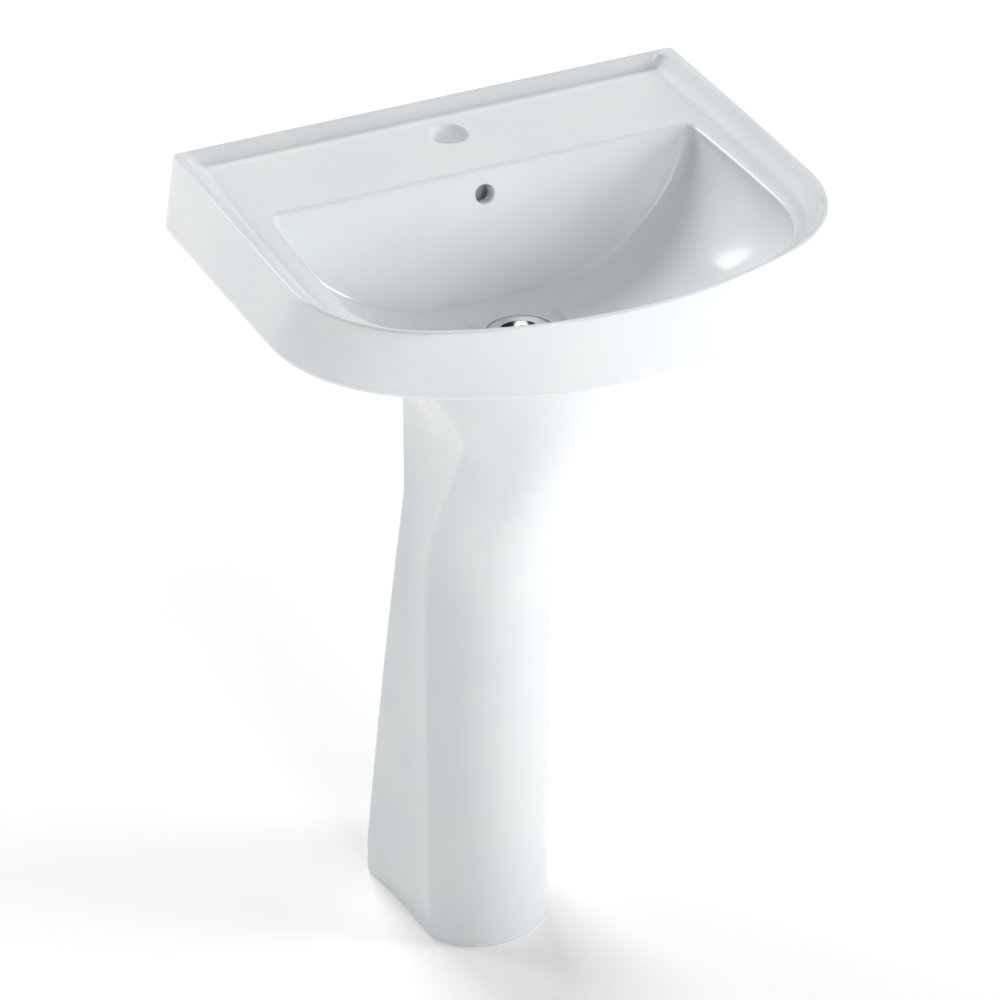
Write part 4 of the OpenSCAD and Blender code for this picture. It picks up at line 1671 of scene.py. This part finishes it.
@dataclass(frozen=True)
class Trap:
    """The trap: tailpiece, moulded U-bend with its clean-out, elbow, outlet tube and slip nuts."""

    inlet: float = 196.0
    outlet_leg: float = 132.0
    bend_z: float = 556.5
    bend_r: float = 32.0
    pipe_r: float = 19.0
    bore_r: float = 16.2
    socket_r: float = 21.0
    socket_len: float = 22.0
    collar_h: float = 8.0
    tube_r: float = 16.0
    tube_bore_r: float = 14.5
    mouth_z: float = 582.5
    union_z: float = 570.99
    elbow_z: float = 573.49
    outlet_z: float = 609.2
    elbow_end: float = 100.0
    outlet_mouth: float = 82.0
    nut_r: float = 25.0
    nut_h: float = 19.0
    nut_wall: float = 3.0
    rib_count: int = 8
    boss_z: float = 500.5
    boss_r: float = 15.0
    boss_h: float = 14.0
    plug_r: float = 11.0
    plug_z: float = 494.3
    plug_head_t: float = 4.0
    plug_stem: float = 16.0
    grip_drop: float = 7.5
    plug_pitch: float = 2.0
    seam: float = 0.2

    @property
    def middle(self) -> float:
        """Distance of the U-bend's middle from the wall."""
        return self.inlet - self.bend_r

    def arc(
        self, centre_y: float, centre_z: float, first: float, last: float, radius: float, count: int
    ) -> list[tuple[float, float, float]]:
        """Lists places along a bend.

        Args:
            centre_y: Distance of the bend's centre from the wall.
            centre_z: Height of its centre.
            first: Angle where it starts, 0 towards the wall and 90 up, in degrees.
            last: Angle where it ends.
            radius: The rod's radius.
            count: Number of places.

        Returns:
            The places.
        """
        return [
            (
                -centre_y + self.bend_r * math.cos(math.radians(a)),
                centre_z + self.bend_r * math.sin(math.radians(a)),
                radius,
            )
            for a in steps(count, first, last)
        ]

    def u_bend(self) -> Object:
        """Makes the U-bend with its inlet socket, threaded collar and clean-out boss."""
        skin, socket = self.pipe_r - self.seam, self.socket_r - self.seam
        step_z = self.mouth_z - self.socket_len
        collar_z = self.union_z - self.collar_h
        run = [(-self.inlet, self.mouth_z - drop, socket - less) for drop, less in
               ((0.0, 0.9), (0.3, 0.35), (0.9, 0.0), (8.0, 0.0), (16.0, 0.0))]
        run += [(-self.inlet, step_z + up, r) for up, r in
                ((1.0, socket), (0.5, socket - 0.3), (0.0, socket - 1.0), (-0.5, skin + 0.3),
                 (-1.3, skin))]
        run += self.arc(self.middle, self.bend_z, 180.0, 360.0, skin, 49)
        run += [(-self.outlet_leg, collar_z + up, r) for up, r in
                ((-1.3, skin), (-0.5, skin + 0.3), (0.0, socket - 1.0), (0.5, socket - 0.3),
                 (1.0, socket), (4.0, socket), (7.2, socket), (7.7, socket - 0.3),
                 (8.0, socket - 0.9))]
        bore = [(-self.inlet, self.mouth_z + 2, self.bore_r - 0.1)]
        bore += self.arc(self.middle, self.bend_z, 180.0, 360.0, self.bore_r - 0.1, 49)
        bore.append((-self.outlet_leg, self.union_z + 2, self.bore_r - 0.1))
        boss = rounded(
            [
                (0.0, 0.0, 0.0),
                (self.boss_r, 0.0, 0.8),
                (self.boss_r, self.boss_h, 0.0),
                (0.0, self.boss_h, 0.0),
            ]
        )
        hole = rounded(
            [
                (0.0, -1.0, 0.0),
                (self.plug_r + 0.05, -1.0, 0.0),
                (self.plug_r + 0.05, self.boss_h + 9, 0.0),
                (0.0, self.boss_h + 9, 0.0),
            ]
        )
        piece = new_object("trap_u_bend", pipe_mesh("u_bend", run, self.seam), PIPE_PLASTIC)
        combine(
            piece,
            [
                (Cut.ONTO, above(lathe_mesh("boss", boss), self.middle, self.boss_z)),
                (Cut.AWAY, pipe_mesh("bore", bore)),
                (Cut.AWAY, above(lathe_mesh("hole", hole, 72), self.middle, self.boss_z)),
            ],
        )
        return piece

    def elbow(self) -> Object:
        """Makes the elbow from its flange on the union's washer to the outlet tube's socket."""
        skin, socket = self.pipe_r - self.seam, self.socket_r - self.seam
        top = self.outlet_z - self.bend_r
        y = -self.outlet_leg
        run = [(y, self.elbow_z + up, self.socket_r - less) for up, less in
               ((0.0, 0.7), (0.3, 0.35), (2.7, 0.35), (3.0, 0.7), (3.05, 2.0 + self.seam))]
        run += self.arc(self.elbow_end, top, 180.0, 90.0, skin, 25)
        run += [(-self.elbow_end + along, self.outlet_z, r) for along, r in
                ((0.3, skin + 0.5), (0.7, socket - 0.5), (1.4, socket), (9.0, socket),
                 (17.0, socket), (17.7, socket - 0.35), (18.0, socket - 0.9))]
        bore = [(y, self.elbow_z - 2, self.bore_r - 0.1)]
        bore += self.arc(self.elbow_end, top, 180.0, 90.0, self.bore_r - 0.1, 25)
        bore.append((-self.outlet_mouth + 2, self.outlet_z, self.bore_r - 0.1))
        piece = new_object("trap_elbow", pipe_mesh("elbow", run, self.seam), PIPE_PLASTIC)
        combine(piece, [(Cut.AWAY, pipe_mesh("bore", bore))])
        return piece

    def grip_nut(
        self, name: str, tall: float, outside: float, bore: float, end_bore: float
    ) -> Object:
        """Makes a slip nut: a threaded skirt, an end wall and round grips.

        Args:
            name: Name of the piece.
            tall: Height.
            outside: Radius over the grips.
            bore: Radius inside the skirt.
            end_bore: Radius of the hole in its end wall.

        Returns:
            The nut about the origin, with its end wall on top.
        """
        skirt, rib = outside - 1.5, 2.5
        outline = rounded(
            [
                (bore + 0.02, 0.0, 0.5),
                (skirt, 0.0, 0.8),
                (skirt - 0.3, tall, 2.2),
                (end_bore, tall, 0.6),
                (end_bore, tall - self.nut_wall, 0.3),
                (bore + 0.02, tall - self.nut_wall, 0.6),
            ]
        )
        piece = new_object(name, lathe_mesh(name, outline), NUT_PLASTIC)
        return grip_recipe().apply(
            piece,
            NUT_PLASTIC,
            {
                "Count": self.rib_count,
                "Ring": (outside - rib) * MM,
                "Rib": rib * MM,
                "Foot": 1.6 * MM,
                "Tall": (tall - 3.2) * MM,
            },
        )

    def plug(self) -> Object:
        """Makes the clean-out plug: a hollow threaded stem, a head and a bar to turn it by."""
        stem_r, hollow = self.plug_r - 0.85, self.plug_r - 3
        outline = rounded(
            [
                (0.0, 0.0, 0.0),
                (self.boss_r, 0.0, 1.2),
                (self.boss_r, self.plug_head_t, 0.6),
                (stem_r, self.plug_head_t, 0.3),
                (stem_r, self.plug_stem, 0.7),
                (hollow, self.plug_stem, 0.5),
                (hollow, self.plug_head_t, 1.0),
                (0.0, self.plug_head_t, 0.0),
            ]
        )
        piece = new_object("cleanout_screw_plug", lathe_mesh("plug", outline, 80), NUT_PLASTIC)
        bar = (2 * self.boss_r - 6.2, 5.8, self.grip_drop + 0.5)
        combine(piece, [(Cut.ONTO, block_mesh(bar, (0, 0, 0.25 - self.grip_drop / 2), 1.6))])
        thread_recipe().apply(
            piece,
            NUT_PLASTIC,
            {
                "Radius": (stem_r + 0.05) * MM,
                "Pitch": self.plug_pitch * MM,
                "Turns": 4.2,
                "Depth": 0.72 * MM,
                "Foot": (self.plug_head_t + 2.6) * MM,
            },
        )
        above(piece.data, self.middle, self.plug_z)
        return piece

    def tailpiece(self) -> Object:
        """Makes the tailpiece with the flange that its nut pulls up."""
        low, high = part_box("tailpiece")
        tall = (high.z - low.z) / MM
        flange = (high.x - low.x) / MM / 2
        outline = rounded(
            [
                (self.tube_bore_r, 0.0, 0.5),
                (self.tube_r, 0.0, 0.5),
                (self.tube_r, tall - 2.5, 0.6),
                (flange, tall - 2.5, 0.6),
                (flange, tall, 0.6),
                (self.tube_bore_r, tall, 0.6),
            ]
        )
        mesh = above(lathe_mesh("tailpiece", outline), self.inlet, low.z / MM)
        return new_object("tailpiece_tube", mesh, TUBE_CHROME)

    def tailpiece_nut(self) -> Object:
        """Makes the chrome hexagon nut that joins the tailpiece to the waste's tail."""
        low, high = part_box("tailpiece_nut")
        tall = (high.z - low.z) / MM
        wide, narrow = 20.92, self.tube_r + 0.3
        bore = [
            (narrow + 0.5, 0.0),
            (narrow, 0.5),
            (narrow, self.nut_wall),
            (wide, self.nut_wall),
            (wide, tall - 0.8),
            (wide + 0.8, tall),
        ]
        piece = hex_nut("tailpiece_hex_nut", TUBE_CHROME, 49.8, tall, bore)
        above(piece.data, self.inlet, low.z / MM)
        return piece

    def flat_washer(self, node: str, inner: float, distance: float, body: Body) -> None:
        """Makes a pressed rubber washer in the place of a node."""
        low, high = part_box(node)
        outline = ring_outline(inner, (high.x - low.x) / MM / 2, (high.z - low.z) / MM, 0.5)
        mesh = above(lathe_mesh(node, outline, 80), distance, low.z / MM)
        hand_over(new_object(f"{node}_ring", mesh, RUBBER), RUBBER, body, node)

    def cone_seal(self) -> bpy.types.Mesh:
        """Makes a slip joint's tapered seal about the origin."""
        outline = rounded(
            [
                (self.tube_r + 0.02, 0.0, 0.3),
                (self.socket_r - 0.5, 0.0, 0.5),
                (self.socket_r - 0.5, 2.0, 0.6),
                (self.tube_r + 1.5, 6.0, 0.4),
                (self.tube_r + 0.02, 6.0, 0.2),
            ]
        )
        return lathe_mesh("cone_seal", outline, 80)

    def outlet_tube(self) -> Object:
        """Makes the tube through the wall flange."""
        tall = self.elbow_end - 2.0
        outline = ring_outline(self.tube_bore_r, self.tube_r, tall, 0.5)
        mesh = towards_wall(lathe_mesh("outlet", outline), tall, self.outlet_z)
        return new_object("outlet_pipe", mesh, OUTLET_CHROME)

    def wall_flange(self) -> Object:
        """Makes the spun flange that hides the hole in the wall, with its rolled rim."""
        bore, rim = self.tube_r + 0.05, 33.0
        outline = rounded(
            [
                (bore, 0.0, 0.2),
                (rim - 1.2, 0.0, 0.2),
                (rim, 0.7, 0.8),
                (rim - 0.5, 2.0, 0.8),
                (rim - 3.5, 2.5, 1.5),
                (bore + 7.5, 4.6, 3.0),
                (bore + 2.3, 8.0, 2.0),
                (bore + 1.6, 9.0, 0.6),
                (bore, 9.0, 0.4),
            ],
            7,
        )
        mesh = lathe_mesh("wall_flange", outline, 128)
        turn = Matrix.Rotation(math.pi / 2, 4, "X")
        moved(mesh, Matrix.Translation(to_frame((0, -0.1, self.outlet_z))) @ turn)
        return new_object("spun_wall_flange", mesh, FLANGE_CHROME)

    def nuts(self) -> None:
        """Makes the three slip nuts and puts each in its place."""
        inlet = self.grip_nut(
            "trap_inlet_grip_nut", self.nut_h, self.nut_r, self.socket_r, self.tube_r + 0.3
        )
        above(inlet.data, self.inlet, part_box("trap_inlet_nut")[0].z / MM)
        hand_over(inlet, NUT_PLASTIC, Body.ROOT, "trap_inlet_nut")
        low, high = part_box("trap_union_nut")
        union = self.grip_nut(
            "trap_union_grip_nut",
            (high.z - low.z) / MM,
            self.nut_r + 1.0,
            self.socket_r,
            self.pipe_r + 0.3,
        )
        moved(union.data, Matrix.Rotation(math.pi / self.rib_count, 4, "Z"))
        above(union.data, self.outlet_leg, low.z / MM)
        hand_over(union, NUT_PLASTIC, Body.ROOT, "trap_union_nut")
        outlet = self.grip_nut(
            "outlet_grip_nut", self.nut_h, self.nut_r, self.socket_r, self.tube_r + 0.3
        )
        foot = (WALL_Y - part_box("outlet_nut")[0].y) / MM
        towards_wall(outlet.data, foot, self.outlet_z)
        hand_over(outlet, NUT_PLASTIC, Body.ROOT, "outlet_nut")

    def build(self) -> None:
        """Builds the trap from the waste's tail to the wall."""
        hand_over(self.tailpiece(), TUBE_CHROME, Body.ROOT, "tailpiece")
        hand_over(self.tailpiece_nut(), TUBE_CHROME, Body.ROOT, "tailpiece_nut")
        self.flat_washer("tailpiece_washer", self.tube_bore_r, self.inlet, Body.ROOT)
        hand_over(self.u_bend(), PIPE_PLASTIC, Body.ROOT, "trap_bend")
        self.nuts()
        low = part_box("trap_inlet_seal")[0].z / MM
        seal = new_object("trap_inlet_cone", above(self.cone_seal(), self.inlet, low), RUBBER)
        hand_over(seal, RUBBER, Body.ROOT, "trap_inlet_seal")
        hand_over(self.plug(), NUT_PLASTIC, Body.PLUG, "cleanout_plug")
        self.flat_washer("cleanout_seal", self.plug_r + 0.05, self.middle, Body.PLUG_SEAL)
        self.flat_washer("trap_union_seal", self.bore_r, self.outlet_leg, Body.ROOT)
        hand_over(self.elbow(), PIPE_PLASTIC, Body.ROOT, "outlet_bend")
        mesh = towards_wall(self.cone_seal(), self.outlet_mouth, self.outlet_z)
        hand_over(new_object("outlet_cone", mesh, RUBBER), RUBBER, Body.ROOT, "outlet_seal")
        hand_over(self.outlet_tube(), OUTLET_CHROME, Body.ROOT, "outlet_tube")
        hand_over(self.wall_flange(), FLANGE_CHROME, Body.FLANGE, "wall_flange")


# ---- Studio --------------------------------------------------------------------------------------


@dataclass(frozen=True)
class Lamp:
    """A soft box, placed by its turn from the front and its height."""

    name: str
    turn: float
    rise: float
    away: float
    size: float
    watts: float
    mirrored: bool = True

    def build(self, target: Vector) -> None:
        """Hangs the lamp and points it at the target."""
        light = bpy.data.lights.new(self.name, "AREA")
        light.shape = "DISK"
        light.size = self.size
        light.energy = self.watts
        turn, rise = math.radians(self.turn), math.radians(self.rise)
        level = math.cos(rise)
        away = Vector((math.sin(turn) * level, -math.cos(turn) * level, math.sin(rise)))
        lamp = bpy.data.objects.new(self.name, light)
        bpy.context.scene.collection.objects.link(lamp)
        lamp.location = target + away * self.away
        # A lamp behind a flag gives light without a bright patch in the glaze
        lamp.visible_glossy = self.mirrored
        lamp.rotation_euler = away.to_track_quat("Z", "Y").to_euler()


@dataclass(frozen=True)
class PaintedFloor(Finish):
    """A matt white studio floor, lit so that it stays white."""

    glow: float = 0.16
    glow_ramp: Point = (1.2, 3.6)

    def dress(self, tree: Tree, shader: bpy.types.Node, place: Socket) -> None:
        """Matt paint gives the eye a plain white ground with the faintest roller texture."""
        shader.inputs["Roughness"].default_value = 0.9
        shader.inputs["Specular IOR Level"].default_value = 0.1
        shader.inputs["Emission Color"].default_value = (1.0, 1.0, 1.0, 1.0)
        # The far floor glows more, so that the ground stays pale up to the horizon
        far = add_node(
            tree, "ShaderNodeVectorMath", links={"Vector": place}, operation="LENGTH"
        ).outputs["Value"]
        glow = spread(tree, far, self.glow, 1.0, self.glow_ramp)
        tree.links.new(glow, shader.inputs["Emission Strength"])
        cloud = spread(tree, noise(tree, place, 400.0, 2.0), 0.0, 1.0)
        tree.links.new(blend(tree, cloud, "#F4F4F4", "#F2F2F2"), shader.inputs["Base Color"])


@dataclass(frozen=True)
class Studio:
    """The plain floor, the soft lights and the camera."""

    eye: Point3 = (-1.9338, -4.0559, 3.2256)
    turn: float = 25.192
    fall: float = 31.22
    lens: float = 216.0
    sky: float = 0.02
    floor_reach: float = 80.0
    aim: Point3 = (0.0, 0.0, 0.55)
    lamps: tuple[Lamp, ...] = (
        Lamp("key_right", 60.0, 18.0, 4.5, 1.8, 88.0),
        Lamp("right_kick", 95.0, 22.0, 4.5, 1.8, 7.0),
        Lamp("front_low", 0.0, 18.0, 4.5, 1.8, 42.0),
        Lamp("front_high", 5.0, 50.0, 4.5, 1.8, 26.0),
        Lamp("top_soft", 0.0, 88.0, 3.5, 2.4, 20.0),
        Lamp("back_soft", 180.0, 45.0, 4.5, 2.0, 118.0, mirrored=False),
        Lamp("back_left", -140.0, 25.0, 4.5, 1.8, 54.0),
    )

    def floor(self) -> None:
        """Lays the floor."""
        mesh = bpy.data.meshes.new("floor")
        reach = self.floor_reach
        corners = [(-reach, -reach, 0), (reach, -reach, 0), (reach, reach, 0), (-reach, reach, 0)]
        mesh.from_pydata(corners, [], [(0, 1, 2, 3)])
        floor = new_object("studio_floor", mesh, PaintedFloor("floor_paint", Slot.CHINA))

    def world(self) -> None:
        """Sets an even white surround."""
        world = bpy.data.worlds.new("surround")
        world.use_nodes = True
        ground = world.node_tree.nodes["Background"]
        ground.inputs["Color"].default_value = (1.0, 1.0, 1.0, 1.0)
        ground.inputs["Strength"].default_value = self.sky
        bpy.context.scene.world = world

    def camera(self) -> None:
        """Places the camera."""
        lens = bpy.data.cameras.new("camera")
        lens.lens = self.lens
        lens.sensor_width = 36.0
        # Past the floor's far edge
        lens.clip_end = 2.5 * self.floor_reach
        turn, fall = math.radians(self.turn), math.radians(self.fall)
        ahead = Vector(
            (
                math.sin(turn) * math.cos(fall),
                math.cos(turn) * math.cos(fall),
                -math.sin(fall),
            )
        )
        camera = bpy.data.objects.new("camera", lens)
        bpy.context.scene.collection.objects.link(camera)
        camera.location = self.eye
        camera.rotation_euler = ahead.to_track_quat("-Z", "Y").to_euler()
        bpy.context.scene.camera = camera

    def build(self) -> None:
        """Builds the studio."""
        self.camera()
        self.world()
        self.floor()
        for lamp in self.lamps:
            lamp.build(Vector(self.aim))
        bpy.context.scene.view_settings.view_transform = "Standard"


def main() -> None:
    """Builds the studio and every piece."""
    logging.basicConfig(level=logging.INFO, format="%(name)s %(message)s")
    Studio().build()
    Basin().build()
    Pedestal(top_z=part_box("pedestal")[1].z / MM).build()
    Waste().build()
    Trap().build()


if __name__ == "__main__":
    main()
